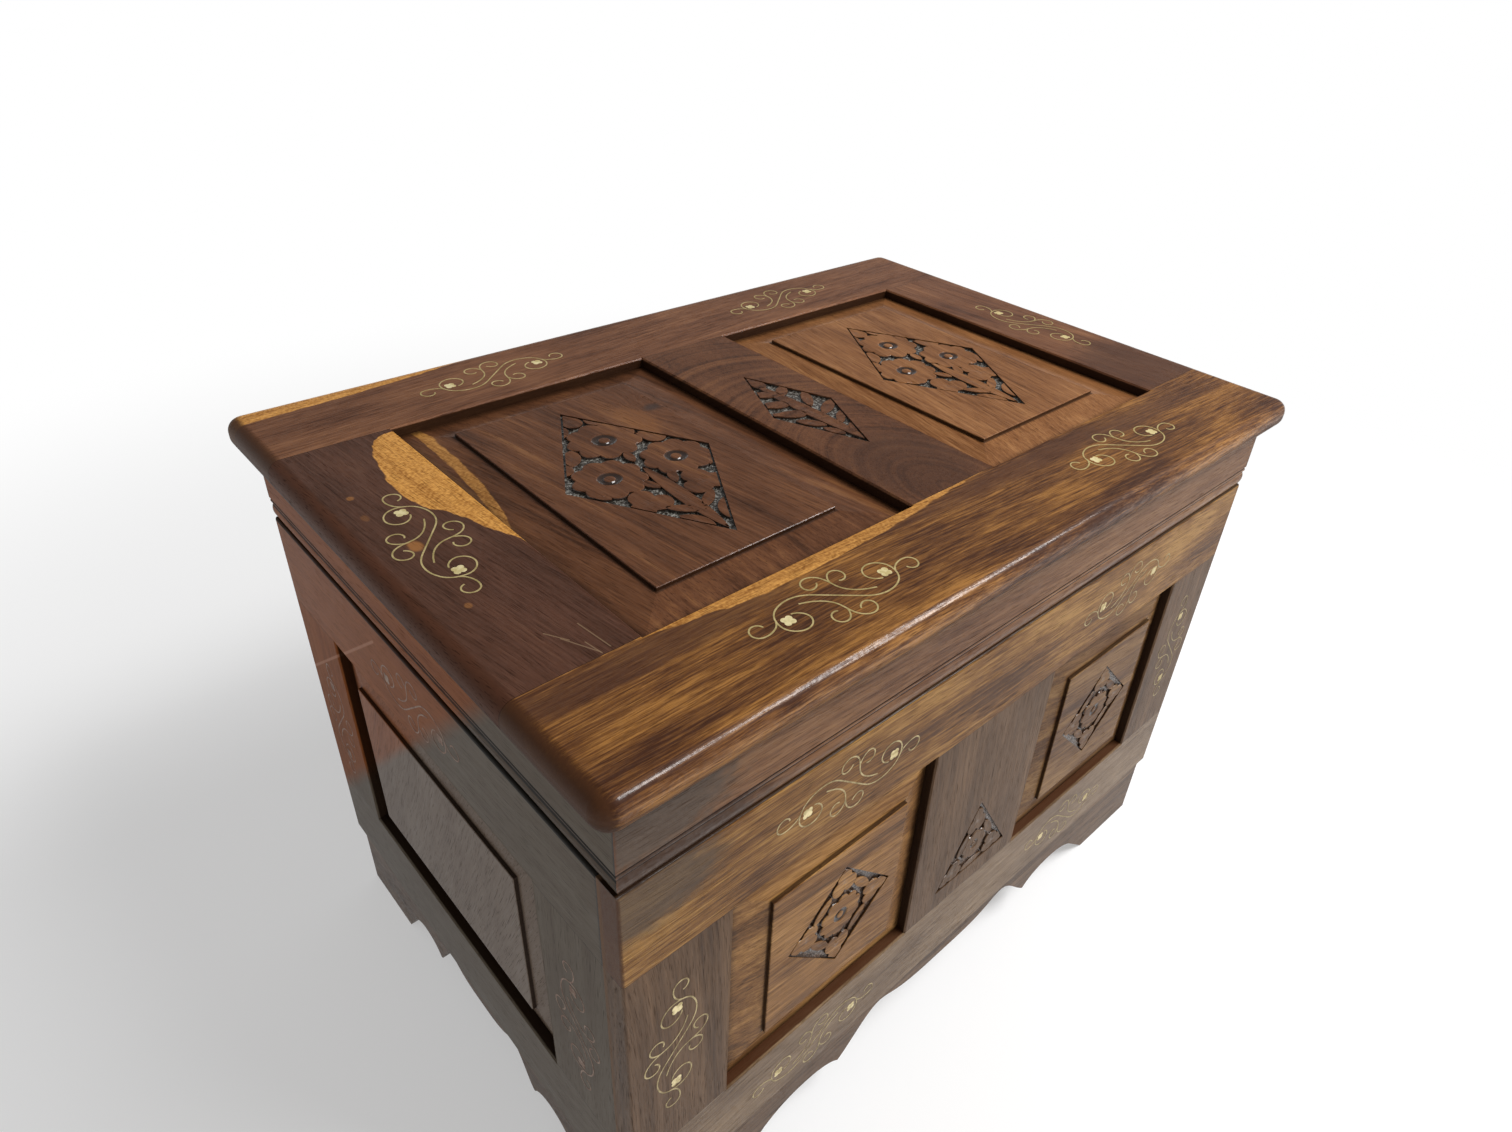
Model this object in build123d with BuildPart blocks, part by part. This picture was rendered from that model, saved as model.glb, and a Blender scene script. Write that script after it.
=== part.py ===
"""A panelled rosewood dowry chest with a lift-up lid, brass scroll inlay and carved lozenges.

Millimetres. The origin is on the floor under the middle of the chest, +X runs along its length to the
right and the front faces -Y. Every flat side has its own plane, whose local x runs to the right as the
side is looked at from outside, whose local y runs up and whose normal points out of the chest. Areas on
such a plane are written as (left, right, low, high), and depths are measured inwards from it.
"""

from build123d import *
import os

os.makedirs("parts", exist_ok=True)

# ---------------------------------------------------------------- driving dimensions
BODY_LENGTH = 720.0
BODY_DEPTH = 485.0
BODY_TOP = 450.0
BOARD = 20.0
PLINTH_HEIGHT = 80.0
PLINTH_INSET = 4.0
OPENING_LOW = 157.0
OPENING_HIGH = 369.0
FRONT_STILE = 84.0
FRONT_MUNTIN = 155.0
END_STILE = 80.0

LID_LENGTH = 750.0
LID_DEPTH = 515.0
LID_TOP = 540.0
LID_BOARD = 26.0
LID_RAIL = 94.5
LID_STILE = 92.0
LID_MUNTIN = 96.0
LID_CORNER_RADIUS = 13.0
NOSE_TOP_RADIUS = 10.5
NOSE_BOTTOM_RADIUS = 12.0
SKIRT_BOTTOM = 469.5
LID_GAP = 0.3

LIP = 9.0  # depth of the frame's edge in front of a panel
GROOVE_WIDTH = 6.4
GROOVE_DEPTH = 8.0
TONGUE = 6.2
TONGUE_REACH = 7.0
FIELD_DEPTH = 1.0
STEP_DEPTH = 4.0
ARRIS = 1.2
FIELD_ARRIS = 0.5
FIELD_MARGIN = 30.0  # the rising border of the plain panels
LID_FIELDS = [(-248.0, -91.5, -129.0, 129.0), (81.0, 240.0, -129.0, 129.0)]
FRONT_FIELDS = [(-239.5, -104.5, 187.0, 339.0), (112.5, 247.5, 187.0, 339.0)]

TENON_WIDTH = 40.0
TENON_LENGTH = 22.0
TENON = 8.0
FIT = 0.1
EDGE_ROUND = 2.0

CARVING_DEPTH = 3.0
LID_LOZENGE = (64.5, 110.0)  # half width, half height
MUNTIN_LOZENGE = (33.5, 77.5)
FRONT_LOZENGE = (54.0, 55.0)
LID_LOZENGES_X = (-166.5, 165.0)
FRONT_LOZENGES_X = (-167.5, 180.5)
TRIANGLE = [(-40.5, 177.5), (58.0, 177.5), (4.0, 263.0)]

# The bead strip's section: (distance out of the face, height) of each turn of its outline.
BEAD_FOOT = (-2.2, 450.8)
BEAD_CROWN = (-0.4, 457.5)
LOWER_QUIRK = (-1.5, 464.0)
SMALL_BEAD_CROWN = (-0.3, 466.3)
UPPER_QUIRK = (-1.3, 468.4)

WIRE = 1.1
INLAY_DEPTH = 1.4
INLAY_PROUD = 0.12

CLEAT = 20.0
BOTTOM_BOARD = 12.0
BOTTOM_SLACK = 0.5
POST = 25.0
POST_TOP = 446.0
LID_BLOCK_LOW = 470.0
PLINTH_BLOCK = 40.0
PLINTH_BLOCK_LOW = 5.0
PLINTH_BLOCK_HIGH = 75.0
FRONT_FOOT = 93.0
END_FOOT = 80.0

HINGE_X = 220.0
HINGE_AXIS_Y = 246.8
KNUCKLE_RADIUS = 4.0
KNUCKLE_LENGTH = 12.0
KNUCKLE_PITCH = 12.2
PIN_RADIUS = 1.5
PIN_HEAD_RADIUS = 2.6
PIN_HEAD = 1.4
LEAF = 2.0
LEAF_BACK = 224.0
LEAF_STOP = 242.2  # where a leaf ends beside the other leaf's knuckles
STOP_LENGTH = 10.0
OPEN_ANGLE = 100.0
SCREW_Y = 230.5
SCREW_PITCH = 20.0
SCREW_LENGTH = 14.0
SCREW_HEAD_RADIUS = 3.4
SCREW_HEAD = 1.8
SCREW_RADIUS = 1.6
SCREW_SLOT = (5.0, 0.8, 0.6)

# ---------------------------------------------------------------- worked out from them
HALF_LENGTH = BODY_LENGTH / 2
HALF_DEPTH = BODY_DEPTH / 2
INSIDE_X = HALF_LENGTH - BOARD
INSIDE_Y = HALF_DEPTH - BOARD
LID_HALF_X = LID_LENGTH / 2
LID_HALF_Y = LID_DEPTH / 2
LID_INSIDE_X = LID_HALF_X - LID_STILE
LID_INSIDE_Y = LID_HALF_Y - LID_RAIL
LID_UNDERSIDE = LID_TOP - LID_BOARD
BEAD_BOTTOM = BODY_TOP + LID_GAP
HINGE_AXIS_Z = BODY_TOP + LID_GAP / 2
PLINTH_X = HALF_LENGTH - PLINTH_INSET
PLINTH_Y = HALF_DEPTH - PLINTH_INSET

TOP_FACE = Plane(origin=(0, 0, LID_TOP), x_dir=(1, 0, 0), z_dir=(0, 0, 1))
FRONT_FACE = Plane(origin=(0, -HALF_DEPTH, 0), x_dir=(1, 0, 0), z_dir=(0, -1, 0))
BACK_FACE = Plane(origin=(0, HALF_DEPTH, 0), x_dir=(-1, 0, 0), z_dir=(0, 1, 0))
LEFT_FACE = Plane(origin=(-HALF_LENGTH, 0, 0), x_dir=(0, -1, 0), z_dir=(-1, 0, 0))
RIGHT_FACE = Plane(origin=(HALF_LENGTH, 0, 0), x_dir=(0, 1, 0), z_dir=(1, 0, 0))

LID_OPENINGS = [
    (-LID_INSIDE_X, -LID_MUNTIN / 2, -LID_INSIDE_Y, LID_INSIDE_Y),
    (LID_MUNTIN / 2, LID_INSIDE_X, -LID_INSIDE_Y, LID_INSIDE_Y),
]
FRONT_OPENINGS = [
    (-HALF_LENGTH + FRONT_STILE, -FRONT_MUNTIN / 2, OPENING_LOW, OPENING_HIGH),
    (FRONT_MUNTIN / 2, HALF_LENGTH - FRONT_STILE, OPENING_LOW, OPENING_HIGH),
]


def save(piece, name):
    """Labels a finished piece and writes it to its own file."""
    piece.part.label = name
    export_step(piece.part, f"parts/{name}.step")


def centre(area):
    left, right, low, high = area
    return ((left + right) / 2, (low + high) / 2)


def size(area, grow=0.0):
    left, right, low, high = area
    return (right - left + 2 * grow, high - low + 2 * grow)


def shrink(area, margin):
    left, right, low, high = area
    return (left + margin, right - margin, low + margin, high - margin)


def lozenge(u, v, half_width, half_height):
    """The corners of an upright lozenge."""
    return [(u - half_width, v), (u, v - half_height), (u + half_width, v), (u, v + half_height)]


def tenons(area):
    """The areas of the two tenons above and below an upright member."""
    left, right, low, high = area
    middle = (left + right) / 2
    sides = (middle - TENON_WIDTH / 2, middle + TENON_WIDTH / 2)
    return [(*sides, high, high + TENON_LENGTH), (*sides, low - TENON_LENGTH, low)]


# ---------------------------------------------------------------- frames and panels
def frame_member(face, area, thickness, openings, uprights=(), upright=False, carving=None, blank=None):
    """One straight member of a panelled frame.

    It is grooved beside each opening. A rail has a mortise for the tenons of each of its uprights, and an
    upright has its own tenons. A blank, where given, is the rounded outline that the member is cut from.
    """
    tenon_depth = (thickness - TENON) / 2
    with BuildPart() as member:
        with BuildSketch(face):
            with Locations(centre(area)):
                Rectangle(*size(area))
        extrude(amount=-thickness)
        if blank is not None:
            add(blank.part, mode=Mode.INTERSECT)
        with BuildSketch(face.offset(-LIP)):
            for opening in openings:
                with Locations(centre(opening)):
                    Rectangle(*size(opening, GROOVE_DEPTH))
        extrude(amount=-GROOVE_WIDTH, mode=Mode.SUBTRACT)
        for opening in openings:
            with BuildSketch(face):
                with Locations(centre(opening)):
                    Rectangle(*size(opening, ARRIS))
            with BuildSketch(face.offset(-ARRIS)):
                with Locations(centre(opening)):
                    Rectangle(*size(opening))
            loft(mode=Mode.SUBTRACT)
        if upright:
            with BuildSketch(face.offset(-tenon_depth - FIT)):
                for tenon in tenons(area):
                    with Locations(centre(tenon)):
                        Rectangle(*size(tenon))
            extrude(amount=-TENON + 2 * FIT)
        if uprights:
            with BuildSketch(face.offset(-tenon_depth)):
                for tenon in [tenon for post in uprights for tenon in tenons(post)]:
                    with Locations(centre(tenon)):
                        Rectangle(*size(tenon, 2 * FIT))
            extrude(amount=-TENON, mode=Mode.SUBTRACT)
        if carving:
            with BuildSketch(face):
                Polygon(*carving, align=None)
            extrude(amount=-CARVING_DEPTH, mode=Mode.SUBTRACT)
    return member


def soften(piece, face, points, radius):
    """Rounds the edges of a piece that pass nearest to the given points of a face."""
    with BuildPart() as softened:
        add(piece.part)
        arrises = [
            softened.edges().sort_by_distance(face.from_local_coords((u, v, 0)))[0] for u, v in points
        ]
        fillet(arrises, radius=radius)
    return softened


def raised_panel(face, opening, field, carving=None):
    """A loose panel: a tongue in the frame's grooves, a rising border and a flat field."""
    with BuildPart() as panel:
        with BuildSketch(face.offset(-LIP - TONGUE)):
            with Locations(centre(opening)):
                Rectangle(*size(opening, TONGUE_REACH))
        extrude(amount=TONGUE)
        with BuildSketch(face.offset(-LIP)):
            with Locations(centre(opening)):
                Rectangle(*size(opening))
        with BuildSketch(face.offset(-STEP_DEPTH)):
            with Locations(centre(field)):
                Rectangle(*size(field))
        loft()
        with BuildSketch(face.offset(-STEP_DEPTH)):
            with Locations(centre(field)):
                Rectangle(*size(field))
        extrude(amount=STEP_DEPTH - FIELD_DEPTH - FIELD_ARRIS)
        with BuildSketch(face.offset(-FIELD_DEPTH - FIELD_ARRIS)):
            with Locations(centre(field)):
                Rectangle(*size(field))
        with BuildSketch(face.offset(-FIELD_DEPTH)):
            with Locations(centre(field)):
                Rectangle(*size(field, -FIELD_ARRIS))
        loft()
        if carving:
            with BuildSketch(face.offset(-FIELD_DEPTH)):
                Polygon(*carving, align=None)
            extrude(amount=-CARVING_DEPTH, mode=Mode.SUBTRACT)
    return panel


def mitred_board(face, half_length, outline):
    """A straight board with a moulded section, mitred at both ends.

    The section is a list of straight sides (start, end) and arcs (start, middle, end), whose points are
    (distance out of the face, height).
    """
    along = face.x_dir
    out = face.z_dir
    section = Plane(origin=face.origin, x_dir=out, z_dir=-along)
    with BuildPart() as board:
        with BuildSketch(section):
            with BuildLine():
                for start, *middle, end in outline:
                    if middle:
                        ThreePointArc(start, middle[0], end)
                    else:
                        Line(start, end)
            make_face()
        extrude(amount=half_length, both=True)
        for way in (-1, 1):
            mitre = Plane(origin=face.origin + along * half_length * way, z_dir=along * way - out)
            split(bisect_by=mitre, keep=Keep.BOTTOM)
    return board


def closed_outline(points):
    """The straight sides of a closed outline, as (start, end) pairs."""
    return list(zip(points, points[1:] + points[:1]))


# ---------------------------------------------------------------- lid frame and panels
with BuildPart() as lid_blank:
    with BuildSketch(Plane.XY.offset(LID_UNDERSIDE)):
        RectangleRounded(LID_LENGTH, LID_DEPTH, LID_CORNER_RADIUS)
    extrude(amount=LID_BOARD)
    fillet(lid_blank.faces().sort_by(Axis.Z)[-1].edges(), radius=NOSE_TOP_RADIUS)
    fillet(lid_blank.faces().sort_by(Axis.Z)[0].edges(), radius=NOSE_BOTTOM_RADIUS)

lid_uprights = {
    "lid_left_stile": (-LID_HALF_X, -LID_INSIDE_X, -LID_INSIDE_Y, LID_INSIDE_Y),
    "lid_muntin": (-LID_MUNTIN / 2, LID_MUNTIN / 2, -LID_INSIDE_Y, LID_INSIDE_Y),
    "lid_right_stile": (LID_INSIDE_X, LID_HALF_X, -LID_INSIDE_Y, LID_INSIDE_Y),
}
lid_rails = {
    "lid_front_rail": (-LID_HALF_X, LID_HALF_X, -LID_HALF_Y, -LID_INSIDE_Y),
    "lid_back_rail": (-LID_HALF_X, LID_HALF_X, LID_INSIDE_Y, LID_HALF_Y),
}
for name, area in lid_uprights.items():
    in_middle = name == "lid_muntin"
    carved = lozenge(0, 0, *MUNTIN_LOZENGE) if in_middle else None
    outline = None if in_middle else lid_blank
    save(frame_member(TOP_FACE, area, LID_BOARD, LID_OPENINGS, (), True, carved, outline), name)
for name, area in lid_rails.items():
    uprights = lid_uprights.values()
    save(frame_member(TOP_FACE, area, LID_BOARD, LID_OPENINGS, uprights, blank=lid_blank), name)
for side, opening, field, x in zip(("left", "right"), LID_OPENINGS, LID_FIELDS, LID_LOZENGES_X):
    carved = lozenge(x, 0, *LID_LOZENGE)
    save(raised_panel(TOP_FACE, opening, field, carved), f"lid_{side}_panel")

# ---------------------------------------------------------------- hinge screws, leaves and pins
screw_places = [(way * HINGE_X + n * SCREW_PITCH, SCREW_Y) for way in (-1, 1) for n in (-1, 0, 1)]
axis_point = Vector(HINGE_AXIS_Y, HINGE_AXIS_Z)


def hinge_screws(surface, down, slotted=True):
    """The countersunk screws of both hinges, driven down or up from the leaf's surface."""
    head_radii = (SCREW_RADIUS, SCREW_HEAD_RADIUS) if down else (SCREW_HEAD_RADIUS, SCREW_RADIUS)
    hang = (Align.CENTER, Align.CENTER, Align.MAX if down else Align.MIN)
    with BuildPart() as screws:
        with Locations(*[(x, y, surface) for x, y in screw_places]):
            Cone(*head_radii, SCREW_HEAD, align=hang)
            Cylinder(SCREW_RADIUS, SCREW_LENGTH, align=hang)
            if slotted:
                Box(*SCREW_SLOT, align=hang, mode=Mode.SUBTRACT)
    return screws


def hinge_leaves(low, own_knuckles, holes, stop=False):
    """One leaf of each hinge with its own knuckles, and the stop tails that limit the opening."""
    middle = (LEAF_BACK + LEAF_STOP) / 2
    tail = [(-KNUCKLE_RADIUS, 0), (-KNUCKLE_RADIUS + LEAF, 0)]
    tail += [(-KNUCKLE_RADIUS + LEAF, -STOP_LENGTH), (-KNUCKLE_RADIUS, -STOP_LENGTH)]
    with BuildPart() as leaves:
        with BuildSketch(Plane.XY.offset(low)):
            for way in (-1, 1):
                with Locations((way * HINGE_X, middle)):
                    Rectangle(5 * KNUCKLE_PITCH, LEAF_STOP - LEAF_BACK)
                for n in own_knuckles:
                    with Locations((way * HINGE_X + n * KNUCKLE_PITCH, (LEAF_STOP + HINGE_AXIS_Y) / 2)):
                        Rectangle(KNUCKLE_LENGTH, HINGE_AXIS_Y - LEAF_STOP)
        extrude(amount=LEAF)
        for way in (-1, 1):
            for n in own_knuckles:
                start = way * HINGE_X + n * KNUCKLE_PITCH - KNUCKLE_LENGTH / 2
                with BuildSketch(Plane.YZ.offset(start)):
                    with Locations(axis_point):
                        Circle(KNUCKLE_RADIUS)
                    if stop:
                        corners = [Vector(*corner).rotate(Axis.Z, OPEN_ANGLE) for corner in tail]
                        Polygon(*[axis_point + corner for corner in corners], align=None)
                extrude(amount=KNUCKLE_LENGTH)
            with BuildSketch(Plane.YZ.offset(way * HINGE_X)):
                with Locations(axis_point):
                    Circle(PIN_RADIUS + FIT / 2)
            extrude(amount=3 * KNUCKLE_PITCH, both=True, mode=Mode.SUBTRACT)
        add(holes.part, mode=Mode.SUBTRACT)
    return leaves


def fit_hinges(piece, leaf_low, leaf_high, holes):
    """A rail or strip with the hinges' leaves let into it and their screw holes drilled."""
    reach = HALF_DEPTH + BOARD - LEAF_BACK
    with BuildPart() as fitted:
        add(piece.part)
        with BuildSketch(Plane.XY.offset(leaf_low)):
            for way in (-1, 1):
                with Locations((way * HINGE_X, LEAF_BACK + reach / 2)):
                    Rectangle(5 * KNUCKLE_PITCH, reach)
        extrude(amount=leaf_high - leaf_low, mode=Mode.SUBTRACT)
        add(holes.part, mode=Mode.SUBTRACT)
    return fitted


body_holes = hinge_screws(BODY_TOP, down=True, slotted=False)
lid_holes = hinge_screws(BEAD_BOTTOM, down=False, slotted=False)
save(hinge_screws(BODY_TOP, down=True), "hinge_body_screws")
save(hinge_screws(BEAD_BOTTOM, down=False), "hinge_lid_screws")
save(hinge_leaves(BODY_TOP - LEAF, (-2, 0, 2), body_holes), "hinge_body_leaves")
save(hinge_leaves(BEAD_BOTTOM, (-1, 1), lid_holes, stop=True), "hinge_lid_leaves")

with BuildPart() as hinge_pins:
    pin_half = 2 * KNUCKLE_PITCH + KNUCKLE_LENGTH / 2
    for way in (-1, 1):
        with BuildSketch(Plane.YZ.offset(way * HINGE_X)):
            with Locations(axis_point):
                Circle(PIN_RADIUS)
        extrude(amount=pin_half, both=True)
        for end in (-1, 1):
            with BuildSketch(Plane.YZ.offset(way * HINGE_X + end * pin_half)):
                with Locations(axis_point):
                    Circle(PIN_HEAD_RADIUS)
            extrude(amount=end * PIN_HEAD)
save(hinge_pins, "hinge_pins")

# ---------------------------------------------------------------- skirt and bead strips under the lid
sides = {
    "front": (FRONT_FACE, HALF_LENGTH),
    "back": (BACK_FACE, HALF_LENGTH),
    "left": (LEFT_FACE, HALF_DEPTH),
    "right": (RIGHT_FACE, HALF_DEPTH),
}
skirt_outline = closed_outline(
    [(-BOARD, SKIRT_BOTTOM), (0, SKIRT_BOTTOM), (0, LID_UNDERSIDE), (-BOARD, LID_UNDERSIDE)]
)
bead_outline = [
    ((-BOARD, BEAD_BOTTOM), (BEAD_FOOT[0], BEAD_BOTTOM)),
    ((BEAD_FOOT[0], BEAD_BOTTOM), BEAD_FOOT),
    (BEAD_FOOT, BEAD_CROWN, LOWER_QUIRK),
    (LOWER_QUIRK, SMALL_BEAD_CROWN, UPPER_QUIRK),
    (UPPER_QUIRK, (UPPER_QUIRK[0], SKIRT_BOTTOM)),
    ((UPPER_QUIRK[0], SKIRT_BOTTOM), (-BOARD, SKIRT_BOTTOM)),
    ((-BOARD, SKIRT_BOTTOM), (-BOARD, BEAD_BOTTOM)),
]
for side, (face, half) in sides.items():
    save(mitred_board(face, half, skirt_outline), f"lid_{side}_skirt")
    bead = mitred_board(face, half, bead_outline)
    if side == "back":
        bead = fit_hinges(bead, BEAD_BOTTOM, BEAD_BOTTOM + LEAF, lid_holes)
    save(bead, f"lid_{side}_bead")


def corner_boxes(inside_x, inside_y, width, low, high):
    """Four square blocks, one in each inside corner of a rectangle of boards."""
    with BuildPart() as blocks:
        with BuildSketch(Plane.XY.offset(low)):
            with GridLocations(2 * inside_x - width, 2 * inside_y - width, 2, 2):
                Rectangle(width, width)
        extrude(amount=high - low)
    return blocks


save(corner_boxes(INSIDE_X, INSIDE_Y, POST, LID_BLOCK_LOW, LID_UNDERSIDE), "lid_corner_blocks")

# ---------------------------------------------------------------- front and back of the chest
half_muntin = FRONT_MUNTIN / 2
stile_edge = HALF_LENGTH - FRONT_STILE
for side, face, half_width in (("front", FRONT_FACE, HALF_LENGTH), ("back", BACK_FACE, INSIDE_X)):
    uprights = {
        "left_stile": (-half_width, -stile_edge, OPENING_LOW, OPENING_HIGH),
        "muntin": (-half_muntin, half_muntin, OPENING_LOW, OPENING_HIGH),
        "right_stile": (stile_edge, half_width, OPENING_LOW, OPENING_HIGH),
    }
    rails = {
        "top_rail": (-half_width, half_width, OPENING_HIGH, BODY_TOP),
        "bottom_rail": (-half_width, half_width, PLINTH_HEIGHT, OPENING_LOW),
    }
    rounded = {
        "top_rail": [(0, BODY_TOP)],
        "bottom_rail": [(0, PLINTH_HEIGHT)],
    }
    middle_of = {name: centre(area)[1] for name, area in (rails | uprights).items()}
    if side == "front":
        for name in rails:
            rounded[name] += [(-half_width, middle_of[name]), (half_width, middle_of[name])]
        rounded["left_stile"] = [(-half_width, middle_of["left_stile"])]
        rounded["right_stile"] = [(half_width, middle_of["right_stile"])]
    for name, area in uprights.items():
        carved = TRIANGLE if (side, name) == ("front", "muntin") else None
        member = frame_member(face, area, BOARD, FRONT_OPENINGS, (), True, carved)
        if name in rounded:
            member = soften(member, face, rounded[name], EDGE_ROUND)
        save(member, f"{side}_{name}")
    for name, area in rails.items():
        member = frame_member(face, area, BOARD, FRONT_OPENINGS, uprights.values())
        member = soften(member, face, rounded[name], EDGE_ROUND)
        if (side, name) == ("back", "top_rail"):
            member = fit_hinges(member, BODY_TOP - LEAF, BODY_TOP, body_holes)
        save(member, f"{side}_{name}")
    for name, opening, field, x in zip(("left", "right"), FRONT_OPENINGS, FRONT_FIELDS, FRONT_LOZENGES_X):
        if side == "front":
            panel = raised_panel(face, opening, field, lozenge(x, centre(field)[1], *FRONT_LOZENGE))
        else:
            panel = raised_panel(face, opening, shrink(opening, FIELD_MARGIN))
        save(panel, f"{side}_{name}_panel")

# ---------------------------------------------------------------- ends of the chest
front_edge = -INSIDE_Y + END_STILE
back_edge = HALF_DEPTH - END_STILE


def end_area(way, start, stop, low, high):
    """An area between two depths of the chest, in the left and right of the end on that side."""
    return (min(way * start, way * stop), max(way * start, way * stop), low, high)


for side, face, way in (("left", LEFT_FACE, -1), ("right", RIGHT_FACE, 1)):
    opening = end_area(way, front_edge, back_edge, OPENING_LOW, OPENING_HIGH)
    uprights = {
        "front_stile": end_area(way, -INSIDE_Y, front_edge, OPENING_LOW, OPENING_HIGH),
        "back_stile": end_area(way, back_edge, HALF_DEPTH, OPENING_LOW, OPENING_HIGH),
    }
    rails = {
        "top_rail": end_area(way, -INSIDE_Y, HALF_DEPTH, OPENING_HIGH, BODY_TOP),
        "bottom_rail": end_area(way, -INSIDE_Y, HALF_DEPTH, PLINTH_HEIGHT, OPENING_LOW),
    }
    back_u = way * HALF_DEPTH
    rounded = {
        "top_rail": [(0, BODY_TOP), (back_u, centre(rails["top_rail"])[1])],
        "bottom_rail": [(0, PLINTH_HEIGHT), (back_u, centre(rails["bottom_rail"])[1])],
        "back_stile": [(back_u, centre(uprights["back_stile"])[1])],
    }
    for name, area in uprights.items():
        member = frame_member(face, area, BOARD, [opening], (), True)
        if name in rounded:
            member = soften(member, face, rounded[name], EDGE_ROUND)
        save(member, f"{side}_{name}")
    for name, area in rails.items():
        member = frame_member(face, area, BOARD, [opening], uprights.values())
        save(soften(member, face, rounded[name], EDGE_ROUND), f"{side}_{name}")
    save(raised_panel(face, opening, shrink(opening, FIELD_MARGIN)), f"{side}_panel")

# ---------------------------------------------------------------- bottom, cleats and corner posts
with BuildPart() as bottom_cleats:
    with BuildSketch(Plane.XY.offset(PLINTH_HEIGHT)):
        Rectangle(2 * INSIDE_X, 2 * INSIDE_Y)
        Rectangle(2 * (INSIDE_X - CLEAT), 2 * (INSIDE_Y - CLEAT), mode=Mode.SUBTRACT)
    extrude(amount=CLEAT)
    for way in (-1, 1):
        split(bisect_by=Plane.XZ.offset(way * (INSIDE_Y - CLEAT)), keep=Keep.BOTH)
save(bottom_cleats, "bottom_cleats")

with BuildPart() as bottom_board:
    with BuildSketch(Plane.XY.offset(PLINTH_HEIGHT + CLEAT)):
        Rectangle(2 * (INSIDE_X - BOTTOM_SLACK), 2 * (INSIDE_Y - BOTTOM_SLACK))
    extrude(amount=BOTTOM_BOARD)
save(bottom_board, "bottom_board")

board_top = PLINTH_HEIGHT + CLEAT + BOTTOM_BOARD
save(corner_boxes(INSIDE_X, INSIDE_Y, POST, board_top, POST_TOP), "corner_posts")

# ---------------------------------------------------------------- plinth with its scalloped aprons
plinth_outline = closed_outline(
    [(-BOARD, 0), (0, 0), (0, PLINTH_HEIGHT), (-BOARD, PLINTH_HEIGHT)]
)
# One half of the scallop: (share of the half width, height), from the foot to the cusp and on inwards.
FOOT_CURVE = [(0.87, 30.0), (0.79, 40.0), (0.69, 43.0), (0.58, 36.5), (0.535, 28.0)]
MIDDLE_CURVE = [(0.535, 28.0), (0.42, 57.0), (0.355, 67.0), (0.265, 61.0), (0.0, 54.0)]


def apron_board(face, half_length, foot):
    """A plinth board whose lower edge is cut away between its two feet."""
    board = mitred_board(face, half_length, plinth_outline)
    cut_half = half_length - foot
    foot_curve = [(share * cut_half, height) for share, height in FOOT_CURVE]
    middle_curve = [(share * cut_half, height) for share, height in MIDDLE_CURVE]
    with BuildPart() as apron:
        add(board.part)
        with BuildSketch(face):
            with BuildLine():
                for way in (-1, 1):
                    curve = [(way * u, v) for u, v in foot_curve]
                    Line((way * cut_half, 0), curve[0])
                    Spline(*curve)
                Spline(*middle_curve, *[(-u, v) for u, v in middle_curve[-2::-1]])
                Line((-cut_half, 0), (cut_half, 0))
            make_face()
        extrude(amount=-BOARD, mode=Mode.SUBTRACT)
    return apron


plinth_sides = {
    "front": (FRONT_FACE, PLINTH_X, FRONT_FOOT),
    "back": (BACK_FACE, PLINTH_X, FRONT_FOOT),
    "left": (LEFT_FACE, PLINTH_Y, END_FOOT),
    "right": (RIGHT_FACE, PLINTH_Y, END_FOOT),
}
for side, (face, half, foot) in plinth_sides.items():
    save(apron_board(face.offset(-PLINTH_INSET), half, foot), f"plinth_{side}")
plinth_blocks = corner_boxes(
    PLINTH_X - BOARD, PLINTH_Y - BOARD, PLINTH_BLOCK, PLINTH_BLOCK_LOW, PLINTH_BLOCK_HIGH
)
save(plinth_blocks, "plinth_corner_blocks")

# ---------------------------------------------------------------- brass inlay
# Half of the scroll about its middle; the other half is the same turned by half a turn.
MAIN_CURL = [
    (-36, 4.5), (-31, 2), (-28.3, -3.5), (-31, -9.5), (-37.5, -12), (-44, -10), (-48.5, -4),
    (-48.5, 3), (-45, 10), (-37, 15), (-27.5, 16.4), (-18, 14), (-9, 7.5), (0, 0),
]
END_CURL = [
    (-48.4, 4.2), (-51.5, 0.8), (-55.5, -1.2), (-61, -2.2), (-66, -0.8), (-68.2, 3), (-66.5, 8),
    (-62.5, 9.8), (-59, 8.5), (-57.5, 5.5),
]
TALL_CURL = [
    (25.5, -9), (18, -6), (11, -1), (6.5, 6), (5.3, 13), (4.6, 17), (2.2, 22), (-3, 25.5),
    (-8, 25.3), (-12, 21.3), (-12, 17), (-9, 14.3), (-5, 14.8), (-1.8, 18),
]
SHORT_CURL = [
    (5.5, 13.5), (8, 18.3), (12, 21.2), (16, 21), (19.3, 17), (18.5, 12.5), (15, 10.2), (11.5, 11),
]
FLOWER_MIDDLE = (-41.5, 0.8)
PETAL_REACH = 2.6
PETAL_RADIUS = 2.3


def turned(points):
    """The same points after half a turn about the scroll's middle."""
    return [(-u, -v) for u, v in points]


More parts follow.
